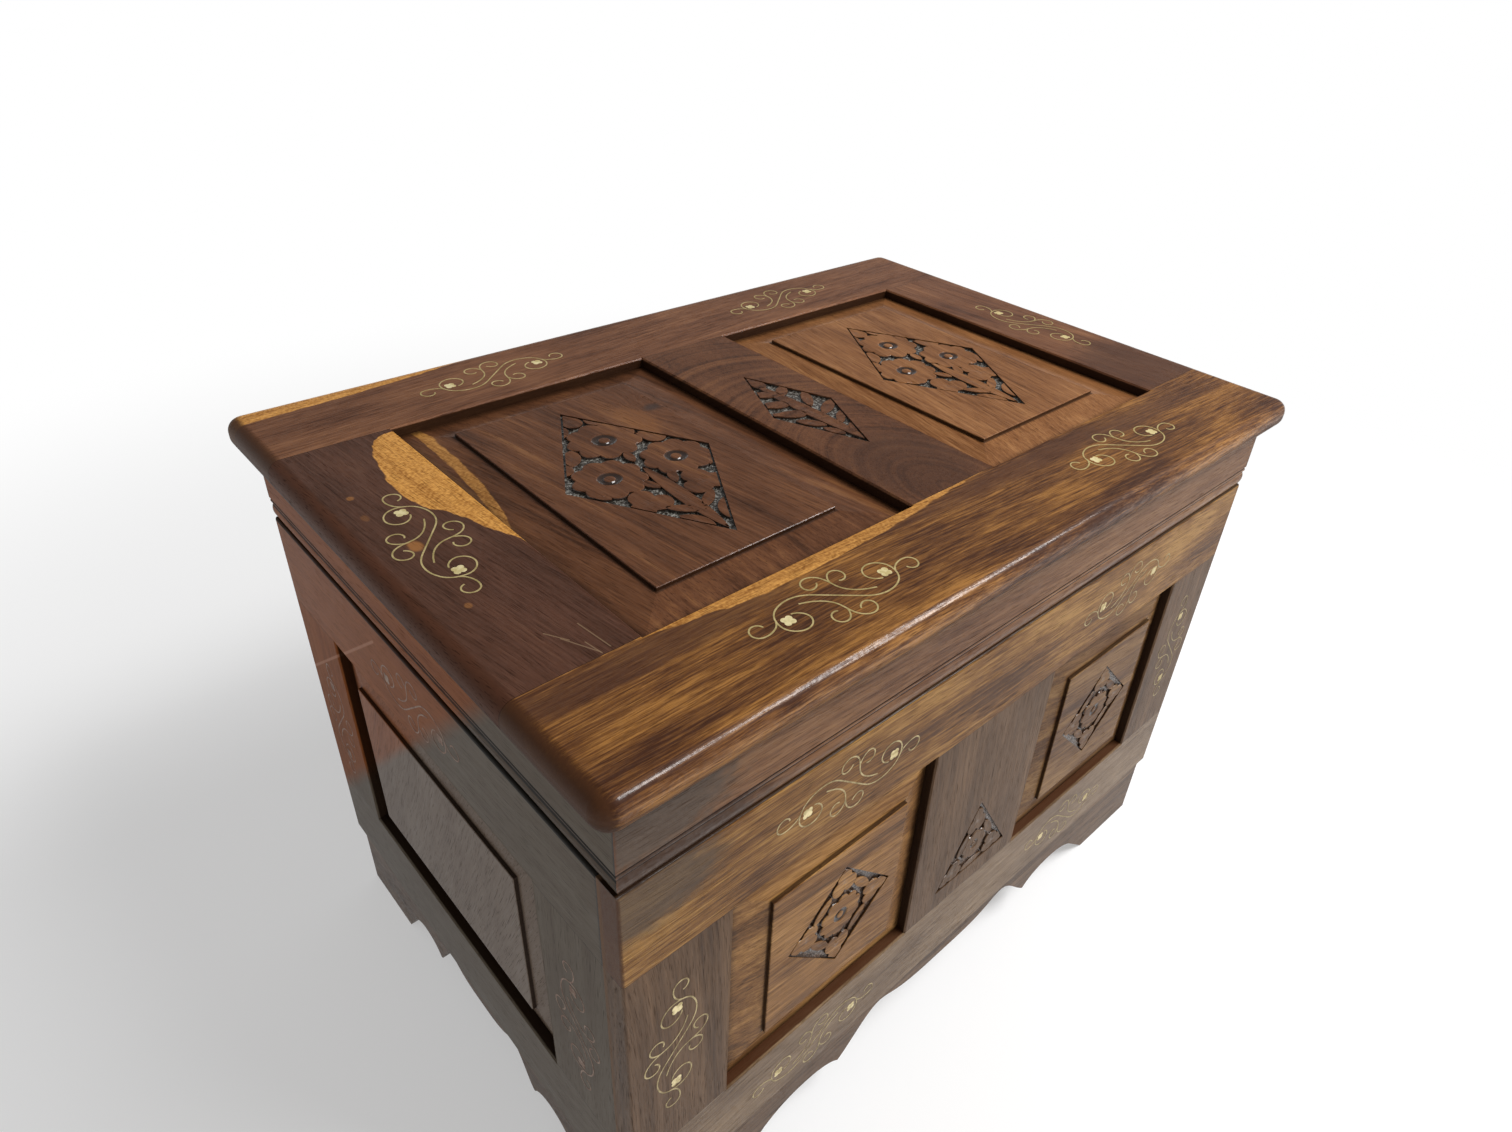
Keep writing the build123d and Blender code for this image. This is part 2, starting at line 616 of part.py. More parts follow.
with BuildSketch() as scroll:
    main_line = MAIN_CURL + turned(MAIN_CURL[-2::-1])
    curls = [curl for half in (END_CURL, TALL_CURL, SHORT_CURL) for curl in (half, turned(half))]
    for line in [main_line, *curls]:
        with BuildLine():
            Spline(*line)
        trace(line_width=WIRE)
with BuildSketch() as scroll_mirrored:
    add(scroll.sketch)
    mirror(about=Plane.YZ, mode=Mode.REPLACE)
with BuildSketch() as flowers:
    for middle in (FLOWER_MIDDLE, *turned([FLOWER_MIDDLE])):
        with Locations(middle):
            with PolarLocations(PETAL_REACH, 4, start_angle=45):
                Circle(PETAL_RADIUS)
            Circle(PETAL_RADIUS / 2)
with BuildSketch() as flowers_mirrored:
    add(flowers.sketch)
    mirror(about=Plane.YZ, mode=Mode.REPLACE)

# Every scroll of a face: its middle, its turn in degrees and whether it is mirrored.
LID_SCROLLS = [
    (-166.5, -206.25, 0, False),
    (165.0, -208.25, 0, False),
    (-170.0, 208.25, 0, True),
    (163.0, 208.25, 0, True),
    (-331.0, 2.0, -90, False),
    (331.0, 2.0, 90, True),
]
FRONT_SCROLLS = [
    (-174.5, 410.5, 0, False),
    (174.5, 410.5, 0, True),
    (-180.5, 114.0, 0, True),
    (180.5, 114.0, 0, False),
    (-322.0, 267.0, -90, False),
    (322.0, 267.0, 90, True),
]
END_RAIL_SCROLL = (9.7, 406.5)
END_STILE_SCROLL_HEIGHT = 253.0


def end_scrolls(way):
    """The scrolls of one end: one on its top rail and one on the middle of each stile."""
    back_u = way * (HALF_DEPTH - END_STILE / 2)
    front_u = -way * (INSIDE_Y - END_STILE / 2)
    rail_u, rail_height = END_RAIL_SCROLL
    return [
        (way * rail_u, rail_height, 0, way < 0),
        (back_u, END_STILE_SCROLL_HEIGHT, way * 90, way > 0),
        (front_u, END_STILE_SCROLL_HEIGHT, -way * 90, way < 0),
    ]


def inlay(faces_and_places, plain, mirrored):
    """Brass let into every place of every face, standing a hair proud of the wood."""
    with BuildPart() as brass:
        for face, places in faces_and_places:
            for u, v, turn, is_mirrored in places:
                with BuildSketch(face.offset(-INLAY_DEPTH)):
                    with Locations(Location((u, v, 0), (0, 0, turn))):
                        add(mirrored.sketch if is_mirrored else plain.sketch)
                extrude(amount=INLAY_DEPTH + INLAY_PROUD)
    return brass


inlaid = {
    "lid": [(TOP_FACE, LID_SCROLLS)],
    "front": [(FRONT_FACE, FRONT_SCROLLS)],
    "end": [(LEFT_FACE, end_scrolls(-1)), (RIGHT_FACE, end_scrolls(1))],
}
for name, faces_and_places in inlaid.items():
    save(inlay(faces_and_places, scroll, scroll_mirrored), f"{name}_inlay_scrolls")
    save(inlay(faces_and_places, flowers, flowers_mirrored), f"{name}_inlay_flowers")
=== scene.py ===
# %% [markdown]
# # A carved rosewood dowry chest
# This lesson dresses a chest whose joinery is already modelled piece by piece. The boards, the hinges and
# the brass are loaded as a fixed frame in metres, with the origin on the floor under the middle of the
# chest, +X to the right and the front facing -Y. What is left for Blender is the finish of every board,
# the carved flowers, the light and the camera.

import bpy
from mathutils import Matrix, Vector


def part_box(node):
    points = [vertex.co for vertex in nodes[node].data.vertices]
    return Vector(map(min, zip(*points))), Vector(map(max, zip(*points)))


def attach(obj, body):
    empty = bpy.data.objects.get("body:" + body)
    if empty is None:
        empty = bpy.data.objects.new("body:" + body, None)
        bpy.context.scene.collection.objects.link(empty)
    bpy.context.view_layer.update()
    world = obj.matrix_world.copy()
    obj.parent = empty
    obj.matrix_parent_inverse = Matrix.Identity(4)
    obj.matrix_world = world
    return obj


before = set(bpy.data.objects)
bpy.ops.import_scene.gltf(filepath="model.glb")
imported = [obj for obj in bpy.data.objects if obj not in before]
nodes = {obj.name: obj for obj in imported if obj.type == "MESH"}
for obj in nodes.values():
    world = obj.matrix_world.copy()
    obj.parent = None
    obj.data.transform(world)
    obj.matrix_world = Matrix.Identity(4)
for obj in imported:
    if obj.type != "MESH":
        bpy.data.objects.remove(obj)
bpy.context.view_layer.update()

# %% [markdown]
# Everything else comes with Blender. All sizes in this file are written in millimetres and multiplied by
# MM, because a joiner thinks in millimetres and Blender works in metres here.

# %% Tools used below
import math
import random

import bmesh
import bpy
from mathutils import Matrix, Vector, noise

MM = 0.001

# %% [markdown]
# ## Camera
# The chest is seen from above its front left corner with a wide lens, close by, so the near corner looms
# and the far one shrinks. The lens is 23 mm on a 36 mm sensor, and a small shift frames the chest as wanted
# without tilting it.

# %% Place the camera
CAMERA_PLACE = (-0.5373, -0.5310, 0.8992)
CAMERA_TURN = (56.733, -3.320, -43.243)
CAMERA_LENS = 23.447
CAMERA_SENSOR = 36
CAMERA_SHIFT = (-0.02592, -0.01597)

camera_data = bpy.data.cameras.new("camera")
camera_data.lens = CAMERA_LENS
camera_data.sensor_width = CAMERA_SENSOR
camera_data.shift_x, camera_data.shift_y = CAMERA_SHIFT
camera_data.clip_start = 0.01
camera = bpy.data.objects.new("camera", camera_data)
camera.location = CAMERA_PLACE
camera.rotation_euler = [math.radians(angle) for angle in CAMERA_TURN]
bpy.context.scene.collection.objects.link(camera)
bpy.context.scene.camera = camera
print("camera", tuple(round(value, 3) for value in camera.location))

# %% [markdown]
# ## Writing shader maths
# A wood finish is mostly arithmetic on a position: stretch it along the grain, bend it, count rings. The
# small class below wraps one socket, so `1 - mask` or `figure * 0.6` adds the Math node by itself.


# %% A socket that can be calculated with
class Shade:
    """One output socket of a finish, on which sums can be written."""

    def __init__(self, finish, socket):
        self.finish = finish
        self.socket = socket

    def sum(self, operation, *others):
        return self.finish.node("ShaderNodeMath", {"operation": operation}, [self, *others])

    def __add__(self, other):
        return self.sum("ADD", other)

    def __sub__(self, other):
        return self.sum("SUBTRACT", other)

    def __mul__(self, other):
        return self.sum("MULTIPLY", other)

    def __truediv__(self, other):
        return self.sum("DIVIDE", other)

    def __pow__(self, other):
        return self.sum("POWER", other)

    def __abs__(self):
        return self.sum("ABSOLUTE")

    def __rsub__(self, other):
        return self.finish.node("ShaderNodeMath", {"operation": "SUBTRACT"}, [other, self])

    __radd__ = __add__
    __rmul__ = __mul__

    def between(self, low, high):
        """0 up to low, 1 from high on, and a smooth rise from one to the other."""
        limits = {"Value": self, "From Min": low, "From Max": high}
        return self.finish.node("ShaderNodeMapRange", {"interpolation_type": "SMOOTHSTEP"}, limits)


# %% [markdown]
# A colour ramp holds stops and a curve holds points. Both start with two, so more are added as needed.


# %% Stops and points
def set_stops(ramp, stops):
    while len(ramp.elements) < len(stops):
        ramp.elements.new(1.0)
    for element, (place, colour) in zip(ramp.elements, stops):
        element.position = place
        element.color = (*colour, 1.0)


def set_points(mapping, points):
    curve = mapping.curves[0].points
    while len(curve) < len(points):
        curve.new(1.0, 1.0)
    for point, place in zip(curve, points):
        point.location = place
    mapping.update()


# %% [markdown]
# A finish is one material. Its `node` method takes the node's type, the settings that have to be made
# before anything is plugged in, and what goes into its sockets: a number, a colour or another socket.


# %% A finish and its nodes
class Finish:
    """The material of one kind of surface, with one Principled shader."""

    def __init__(self, name, **surface):
        self.material = bpy.data.materials.new(name)
        self.material.use_nodes = True
        self.tree = self.material.node_tree
        self.tree.nodes.clear()
        self.surface = self.node("ShaderNodeBsdfPrincipled", {}, surface)
        self.output = self.node("ShaderNodeOutputMaterial", {}, {"Surface": self.surface}, None)

    def node(self, kind, settings, sockets, output=0):
        made = self.tree.nodes.new(kind)
        for name, value in settings.items():
            if name == "stops":
                set_stops(made.color_ramp, value)
            elif name == "points":
                set_points(made.mapping, value)
            else:
                setattr(made, name, value)
        named = sockets.items() if isinstance(sockets, dict) else enumerate(sockets)
        for name, value in named:
            self.plug(made, name, value)
        if output is None:
            return made
        outputs = [socket for socket in made.outputs if socket.enabled]
        return Shade(self, made.outputs[output] if isinstance(output, str) else outputs[output])

    def plug(self, made, name, value):
        sockets = [socket for socket in made.inputs if socket.enabled]
        if isinstance(name, str):
            sockets = [socket for socket in sockets if socket.name == name]
            name = 0
        if isinstance(value, Shade):
            self.tree.links.new(value.socket, sockets[name])
        elif sockets[name].type == "RGBA":
            sockets[name].default_value = (*value, 1.0)
        else:
            sockets[name].default_value = value

    def finish_with(self, **sockets):
        """Plugs values that change over the surface into the shader."""
        for name, value in sockets.items():
            self.plug(self.surface.socket.node, name.replace("_", " "), value)
        return self.material

    def position(self):
        place = self.node("ShaderNodeTexCoord", {}, {}, "Object")
        axes = self.node("ShaderNodeSeparateXYZ", {}, [place], None)
        return [Shade(self, axis) for axis in axes.outputs]

    def vector(self, x, y, z):
        return self.node("ShaderNodeCombineXYZ", {}, [x, y, z])

    def clouds(self, vector, scale, detail, roughness=0.5):
        sockets = {"Vector": vector, "Scale": scale, "Detail": detail, "Roughness": roughness}
        return self.node("ShaderNodeTexNoise", {}, sockets)

    def mix(self, factor, first, second, way="MIX"):
        settings = {"data_type": "RGBA", "blend_type": way}
        return self.node("ShaderNodeMix", settings, {"Factor": factor, "A": first, "B": second})

    def bump(self, height, distance, strength):
        sockets = {"Height": height, "Distance": distance, "Strength": strength}
        return self.node("ShaderNodeBump", {}, sockets)


def dress(piece, finish_material):
    """Gives a piece one material in all of its slots."""
    if not piece.data.materials:
        piece.data.materials.append(finish_material)
    for place in range(len(piece.data.materials)):
        piece.data.materials[place] = finish_material


# %% [markdown]
# ## Rosewood
# Rosewood is a solid pattern that runs right through a board, so it also turns over the nose of the lid
# as it does on the real thing. A palette holds four colours, from the darkest streak to the palest. The
# boards of one chest never match: the maker put the golden ones in front and on the lid, and the plain
# dark ones where they show least.

# %% The palettes of rosewood
GOLDEN = [(0.048, 0.016, 0.006), (0.098, 0.036, 0.010), (0.165, 0.066, 0.015), (0.310, 0.138, 0.031)]
DARK = [(0.035, 0.014, 0.008), (0.062, 0.026, 0.015), (0.082, 0.034, 0.020), (0.110, 0.048, 0.026)]
RED_BROWN = [(0.060, 0.020, 0.008), (0.115, 0.043, 0.018), (0.160, 0.064, 0.027), (0.240, 0.105, 0.045)]
WARM = [(0.045, 0.016, 0.006), (0.085, 0.031, 0.012), (0.118, 0.045, 0.018), (0.190, 0.080, 0.028)]
ORANGE = [(0.100, 0.036, 0.010), (0.175, 0.068, 0.021), (0.235, 0.098, 0.033), (0.330, 0.155, 0.055)]
FRONT_GOLD = [(0.062, 0.024, 0.007), (0.130, 0.054, 0.013), (0.205, 0.095, 0.022), (0.320, 0.170, 0.046)]
FRONT_PANEL = [(0.055, 0.021, 0.007), (0.100, 0.044, 0.014), (0.150, 0.073, 0.023), (0.230, 0.125, 0.045)]
GREY_BROWN = [(0.040, 0.018, 0.007), (0.078, 0.040, 0.018), (0.108, 0.058, 0.028), (0.160, 0.090, 0.045)]
# A red brightened as painted light, for the end that stands in shade.
PAINTED_LIGHT_RED = [(0.150, 0.042, 0.012), (0.205, 0.063, 0.018), (0.245, 0.080, 0.024), (0.300, 0.104, 0.036)]
PANEL_GOLD = [(0.075, 0.030, 0.008), (0.160, 0.070, 0.019), (0.245, 0.117, 0.034), (0.380, 0.200, 0.062)]
FRONT_GREY = [(0.070, 0.036, 0.016), (0.125, 0.073, 0.036), (0.170, 0.106, 0.056), (0.240, 0.160, 0.090)]
BARE_WOOD = [(0.150, 0.078, 0.036), (0.225, 0.125, 0.060), (0.290, 0.170, 0.085), (0.370, 0.230, 0.120)]
MUNTIN_BROWN = [(0.042, 0.015, 0.006), (0.085, 0.031, 0.012), (0.115, 0.044, 0.018), (0.155, 0.064, 0.024)]
SAPWOOD = [(0.260, 0.100, 0.018), (0.680, 0.330, 0.074)]
# A near-black stain. The same colour is also painted as shade: in grooves, in the corners of frames, under
# the nose of the lid and in carved pockets.
STAIN_AND_SHADE = (0.016, 0.006, 0.002)
# A dark red, painted as shade on the floor of an opening.
RED_RECESS_SHADE = (0.055, 0.016, 0.004)
END_GRAIN = (0.082, 0.031, 0.012)
STREAK_PLACES = (0.20, 0.40, 0.60, 0.85)
SAP_PLACES = (0.38, 0.60)
STRIPED = (0.24, 0.32, 0.20, 0.24)
FLECKED = (0.14, 0.22, 0.38, 0.26)
ARCHED = (0.36, 0.16, 0.26, 0.22)

# %% [markdown]
# A board knows its own directions: along the grain, across it and through the board. Stain, painted shade,
# painted reflection, carving and scars are only on its show face; the face that looks into the chest is
# plain wood gone dull.


# %% A board, its directions and its show face
def extent(name, letter):
    return [corner["xyz".index(letter)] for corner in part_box(name)]


def within(value, low, high):
    """How far a value lies between two limits, from the nearer one. Outside them it is negative."""
    return (high - low) / 2 - abs(value - (high + low) / 2)


class Board(Finish):
    """The finish of one board. Its order names the axes along the grain, across it and through it."""

    def __init__(self, name, order, gloss):
        super().__init__(name, **{"Coat Roughness": 0.15, "Specular IOR Level": gloss})
        self.name, self.order = name, order
        self.axes = dict(zip("xyz", self.position()))
        self.along, self.across, self.through = [self.axes[letter] for letter in order]
        low, high = extent(name, order[2])
        below = abs(self.through - max(low, high, key=abs))
        self.shown = 1 - below.between((high - low) * 0.75, (high - low) * 0.92)

    def paint(self, mask, colour, way="MIX"):
        """Lets a colour into the wood where the mask is 1."""
        self.wood = self.mix(mask, self.wood, colour, way)

    def grains(self, detail, roughness=0.5):
        """A noise of small round grains, the same in every direction."""
        return self.clouds(self.vector(*self.axes.values()), 420.0, detail, roughness)


# %% [markdown]
# Small marks make one board differ from the next. A patch is a soft ellipse with a ragged edge, for paler
# wood or a knot. A scratch is read from the distance to a thin line. A band is a straight strip along an
# axis, for the painted shade and dirt in a groove and the painted shade and dull lacquer on an edge.


# %% Patches, scratches and bands
def patch(board, middle, size, soft=0.5):
    """A ragged soft ellipse: 1 in the middle, 0 outside its size (half length, half width)."""
    reach_along = (board.along - middle[0] * MM) / (size[0] * MM)
    reach_across = (board.across - middle[1] * MM) / (size[1] * MM)
    ragged = board.clouds(board.vector(board.along * 90, board.across * 160, 2.0), 1.0, 2.0) * 0.5 - 0.25
    reach = (reach_along * reach_along + reach_across * reach_across) ** 0.5 + ragged
    return 1 - reach.between(1 - soft, 1.0)


def scratch(board, start, end, width):
    """1 on a thin line between two (along, across) points in millimetres."""
    run, rise = (end[0] - start[0]) * MM, (end[1] - start[1]) * MM
    from_start, beside_start = board.along - start[0] * MM, board.across - start[1] * MM
    share = (from_start * run + beside_start * rise) / (run * run + rise * rise)
    share = share.sum("MINIMUM", 1.0).sum("MAXIMUM", 0.0)
    off_along, off_across = from_start - share * run, beside_start - share * rise
    distance = (off_along * off_along + off_across * off_across) ** 0.5
    return 1 - distance.between(width * 0.3 * MM, width * MM)


def band(board, strip, soft):
    """1 between the start and the end of a strip (axis, start, end) in millimetres."""
    letter, start, end = strip
    return within(board.axes[letter], start * MM, end * MM).between(-soft * MM, soft * MM)


# %% [markdown]
# A board is cut beside the heart of a log. The distance from that heart gives the rings; reading a noise
# along that distance gives broad and narrow streaks that nest in each other, and a slight lean of the log
# turns them into long arches. Two slow noises warp the log, and a knot pushes the grain aside. Streaks,
# fibres and pores are stretched noises on top, each finer than the last.

# %% The grain of a board
KNOT_BEND = (45, 26)


def read_grain(board, heart, lean, tilt, rings, knot):
    """Makes the noises of the wood. The heart of the log is at (across, through) in millimetres."""
    along, across, through = board.along, board.across, board.through
    number = sorted(nodes).index(board.name)
    shift = number * 0.37
    warp = board.clouds(board.vector(along * 5 + shift, across * 12, through * 12), 1.0, 2.0) - 0.5
    sway = board.clouds(board.vector(along * 1.7 - shift, across * 3, 3.0), 1.0, 0.0) - 0.5
    side = across - heart[0] * MM + along * lean + warp * 10 * MM + sway * 30 * MM
    if knot:
        side = side + patch(board, knot, KNOT_BEND, 1.0) * 12 * MM
    depth = through - heart[1] * MM + along * tilt
    ring = (side * side + depth * depth) ** 0.5
    reading = {"W": ring * rings + number, "Scale": 1.0, "Detail": 8.0, "Roughness": 0.68}
    board.figure = board.node("ShaderNodeTexNoise", {"noise_dimensions": "1D"}, reading)
    board.streak = board.clouds(board.vector(along * 6 + shift, side * 230, depth * 230), 1.0, 6.0, 0.72)
    board.fibre = board.clouds(board.vector(along * 30 + shift, side * 620, depth * 620), 1.0, 4.0, 0.75)
    pores = board.clouds(board.vector(along * 60 - shift, side * 1500, depth * 1500), 1.0, 1.0)
    board.pores = pores.between(0.58, 0.70)
    board.mottle = board.clouds(board.vector(along * 9, across * 26, through * 26), 1.0, 3.0)
    board.lumps = board.grains(2.0)


# %% [markdown]
# Sapwood is the pale wood from under the bark, which a thrifty maker leaves on the edge of a board. Its
# border follows the log, so it is drawn as a curve: a Float Curve node turns the place along the grain
# into the place of the border across it, and a little noise makes it ragged.


# %% Where the sapwood is
def sapwood_mask(board, edge, side):
    """1 on one side of an edge that is drawn by (along, across) points in millimetres."""
    starts, ends = edge[0][0] * MM, edge[-1][0] * MM
    low = min(point[1] for point in edge) * MM
    high = max(point[1] for point in edge) * MM
    limits = {"Value": board.along, "From Min": starts, "From Max": ends}
    share = board.node("ShaderNodeMapRange", {}, limits)
    points = [((a * MM - starts) / (ends - starts), (b * MM - low) / (high - low)) for a, b in edge]
    height = board.node("ShaderNodeFloatCurve", {"points": points}, {"Value": share})
    line = height * (high - low) + low
    place = board.vector(board.along * 60, board.across * 200, 0.0)
    ragged = board.clouds(place, 1.0, 3.0) * 5 * MM - 2.5 * MM
    past = (board.across - line + ragged) * side
    return past.between(-0.4 * MM, 1.0 * MM)


# %% [markdown]
# The noises are mixed in four shares and read from the palette. A high contrast pulls the darkest and the
# palest streaks apart. Over that come the patches, the sapwood, the pores and the core of a knot.

# %% The colour of a board
KNOT_CORE = (9, 14)
KNOT_BROWN = (0.040, 0.022, 0.016)


def colour_wood(board, palette, contrast, grain, patches, sap, sap_share, knot):
    mixed = board.figure * grain[0] + board.streak * grain[1]
    mixed = mixed + board.fibre * grain[2] + board.mottle * grain[3]
    tone = (mixed - 0.5) * contrast + 0.5
    board.wood = board.node("ShaderNodeValToRGB", {"stops": list(zip(STREAK_PLACES, palette))}, [tone])
    for middle, size, colour, strength in patches:
        board.paint(patch(board, middle, size) * strength, colour)
    if sap:
        tone = board.fibre * 0.4 + board.figure * 0.25 + board.lumps * 0.35
        pale = board.node("ShaderNodeValToRGB", {"stops": list(zip(SAP_PLACES, SAPWOOD))}, [tone])
        mask = sap_share
        for edge, way in sap:
            mask = sapwood_mask(board, edge, way) * mask
        board.paint(mask, pale)
    board.paint(board.pores * 0.55, tuple(value * 0.4 for value in palette[0]))
    if knot:
        board.paint(patch(board, knot, KNOT_CORE, 0.8) * 0.9, KNOT_BROWN)


# %% [markdown]
# Stiles and muntins are tenoned into the rails, and a thin dark line at each shoulder shows the joint. End
# grain is dark, scratches cross the board, and thin dark lines in the grooves are painted shade with some
# dirt. The lacquer over it is never even: pores and dry streaks break its shine into specks, so that a
# highlight on the rounded nose glitters.

# %% Marks and lacquer
TENON = 22 * MM


def mark_wood(board, end_depth, scratches, lines):
    low, high = extent(board.name, board.order[0])
    if board.name.endswith(("stile", "muntin")):
        gap = within(board.along, low + TENON, high - TENON)
        board.paint((1 - gap.between(0.1 * MM, 0.7 * MM)) * 0.85, STAIN_AND_SHADE)
    to_end = within(board.along, low, high)
    board.paint((1 - to_end.between(end_depth[0] * MM, end_depth[1] * MM)) * 0.9, END_GRAIN)
    for start, end, width, colour in scratches:
        board.paint(scratch(board, start, end, width) * board.shown * 0.6, colour)
    # Painted shade, with some dirt: thin dark lines in the grooves and on the rim under the lid.
    for line in lines:
        board.paint(band(board, line, 0.3) * 0.9, STAIN_AND_SHADE)


def lay_lacquer(board, lacquer, rippled):
    shine = (board.fibre * 0.6 + board.lumps * 0.4).between(0.38, 0.62) * 1.3 + 0.35
    board.coat = shine * (1 - board.pores * 0.7) * (board.shown * 0.8 + 0.2) * lacquer
    board.rough = board.fibre * 0.18 + board.pores * 0.15 + 0.42
    board.relief = board.lumps * 0.5 - board.pores * 0.35 + board.fibre * 0.25
    for strip in rippled:
        board.relief = board.relief + board.lumps * band(board, strip, 3.0) * 1.6


# %% [markdown]
# The walls of an opening are painted nearly black, and a panel is painted darker towards its frame: this is
# painted shade, the shade that falls in the corners of a frame, with some stain that gathers there too. The
# boxes of the uprights and rails tell where each frame lies and where its openings are.


# %% The frames of the chest and their openings
def read_frame(face, deep, side, uprights, rails):
    """The axes of a frame, where its surface is, which way it looks, and its openings."""
    uprights = [extent(f"{side}_{upright}", face[0]) for upright in uprights]
    below, above = [extent(f"{side}_{rail}", face[1]) for rail in rails]
    openings = [(low[1], high[0], below[1], above[0]) for low, high in zip(uprights, uprights[1:])]
    surface = max(extent(f"{side}_{rails[0]}", deep), key=abs)
    return face, deep, surface, math.copysign(1, surface), openings


UPRIGHTS = ("left_stile", "muntin", "right_stile")
RAILS = ("bottom_rail", "top_rail")
FRAMES = {
    "lid": read_frame("xy", "z", "lid", UPRIGHTS, ("front_rail", "back_rail")),
    "front": read_frame("xz", "y", "front", UPRIGHTS, RAILS),
    "back": read_frame("xz", "y", "back", UPRIGHTS[::-1], RAILS),
}
for side in ("left", "right"):
    FRAMES[side] = read_frame("yz", "x", side, ("front_stile", "back_stile"), RAILS)
print(len(FRAMES), "frames read")

# %% [markdown]
# Then come a painted reflection and the years. A painted reflection greys one side between two slanting
# lines, each given by a sum of its axes, and adds a little coat there. The inner face goes dull, painted
# shade darkens the corners of a frame and strips of the nose, and dirt dulls the lacquer on the edges of an
# opening.

# %% Painted reflection, painted shade and age
DULL_WOOD = (0.160, 0.088, 0.045)


def frame_shade_and_dirt(board, panel_frame):
    """Where painted shade, with some stain, darkens a panel's edges or an opening's walls, and where dirt
    dulls the coat.
    """
    face, deep, surface, way, openings = panel_frame
    depth = (surface - board.axes[deep]) * way
    corner_shade_and_stain, dirty = 0.0, 0.0
    for opening in openings:
        inside = within(board.axes[face[0]], *opening[:2])
        inside = inside.sum("MINIMUM", within(board.axes[face[1]], *opening[2:]))
        if "panel" in board.name:
            # Painted shade: a panel darkens towards its frame and over the margin around its raised field.
            corner = inside.between(-1 * MM, 0 * MM) * (1 - inside.between(1 * MM, 12 * MM)) * 0.75
            step_shade = depth.between(1.35 * MM, 1.75 * MM) * (1 - depth.between(4.05 * MM, 4.35 * MM))
            corner = corner + inside.between(0 * MM, 1 * MM) * step_shade * 0.8
        else:
            # Painted shade: the walls of an opening are painted nearly black.
            corner = inside.between(-1.6 * MM, -0.8 * MM) * depth.between(0.8 * MM, 2.2 * MM) * 0.88
        corner_shade_and_stain = corner + corner_shade_and_stain
        dirty = inside.between(-3.5 * MM, -2.0 * MM) * (1 - inside.between(1 * MM, 4 * MM)) + dirty
    return corner_shade_and_stain.sum("MINIMUM", 1.0) * board.shown, dirty * 0.75


def age(board, finished_wood, fade, wall, dull):
    # Painted reflection: one side greys between two slanting lines and takes a little more coat.
    if fade:
        letters, start, end, colour = fade
        way = (sum(board.axes[letter] for letter in letters) - start * MM) / ((end - start) * MM)
        faded = (way + board.mottle * 0.4 - 0.2).between(0, 1) * board.shown
        board.paint(faded, colour, "MULTIPLY")
        board.coat = board.coat + faded * 0.10
    if finished_wood:
        board.paint((1 - board.shown) * 0.6, DULL_WOOD)
    side = board.name.split("_")[0]
    if side in FRAMES:
        corner_shade_and_stain, dirty = frame_shade_and_dirt(board, FRAMES[side])
        # Paints the shade that falls in the frame's corners, with some stain, in the colour given for a
        # recess.
        board.paint(corner_shade_and_stain, wall)
        board.coat = board.coat * (1 - dirty) * (1 - corner_shade_and_stain * 0.6)
    # Each strip loses most of its coat and is painted a little darker: painted shade under the nose of the
    # lid and on its left end.
    for strip in dull:
        worn = band(board, strip, 2.0)
        board.paint(worn * 0.3, STAIN_AND_SHADE)
        board.coat = board.coat * (1 - worn * 0.9)


# %% [markdown]
# Inside a carved lozenge the ground is stained nearly black, with painted shade in the pocket, and the
# lacquer pools in it. Pale flecks in the chisel marks at the bottom are painted glints of that lacquer; the
# little walls stay dark with stain and painted shade.

# %% The stained and shaded ground of a carving, with painted glints
# Each pair is the dark ground and its pale flecks, which are painted glints.
GROUND_AND_GLINTS_GREY = ((0.024, 0.020, 0.015), (0.250, 0.240, 0.215))
GROUND_AND_GLINTS_BROWN = ((0.045, 0.024, 0.013), (0.180, 0.120, 0.088))


def stain_ground(board, carving, wax):
    """Stains and shades a carving's ground and paints glints in it. It is given by its middle, half size,
    depth axis, surface and way.
    """
    middle, half, deep, surface, way = carving
    wide, high = [letter for letter in "xyz" if letter != deep]
    reach_wide = abs(board.axes[wide] - middle[0] * MM) / (half[0] * MM)
    reach_high = abs(board.axes[high] - middle[1] * MM) / (half[1] * MM)
    inside = (1 - (reach_wide + reach_high).between(1.0, 1.02)) * board.shown
    cut = (surface * MM - board.axes[deep]) * way
    ground = inside * cut.between(0.6 * MM, 1.4 * MM)
    punched = board.grains(3.0, 0.7)
    waxed = board.mix(punched.between(0.46, 0.64), *wax)
    # Stain with painted shade on the walls, and painted glints as pale flecks on the floor of the pocket.
    board.paint(ground * 0.94, board.mix(cut.between(1.5 * MM, 2.3 * MM), STAIN_AND_SHADE, waxed))
    board.coat = board.coat + inside * cut.between(0.3 * MM, 0.55 * MM) * 0.8
    board.relief = board.relief + ground * punched * 2.0


# %% [markdown]
# A board is all of these steps in turn. What differs from one board to the next is an argument, and most
# boards need only a few of them.


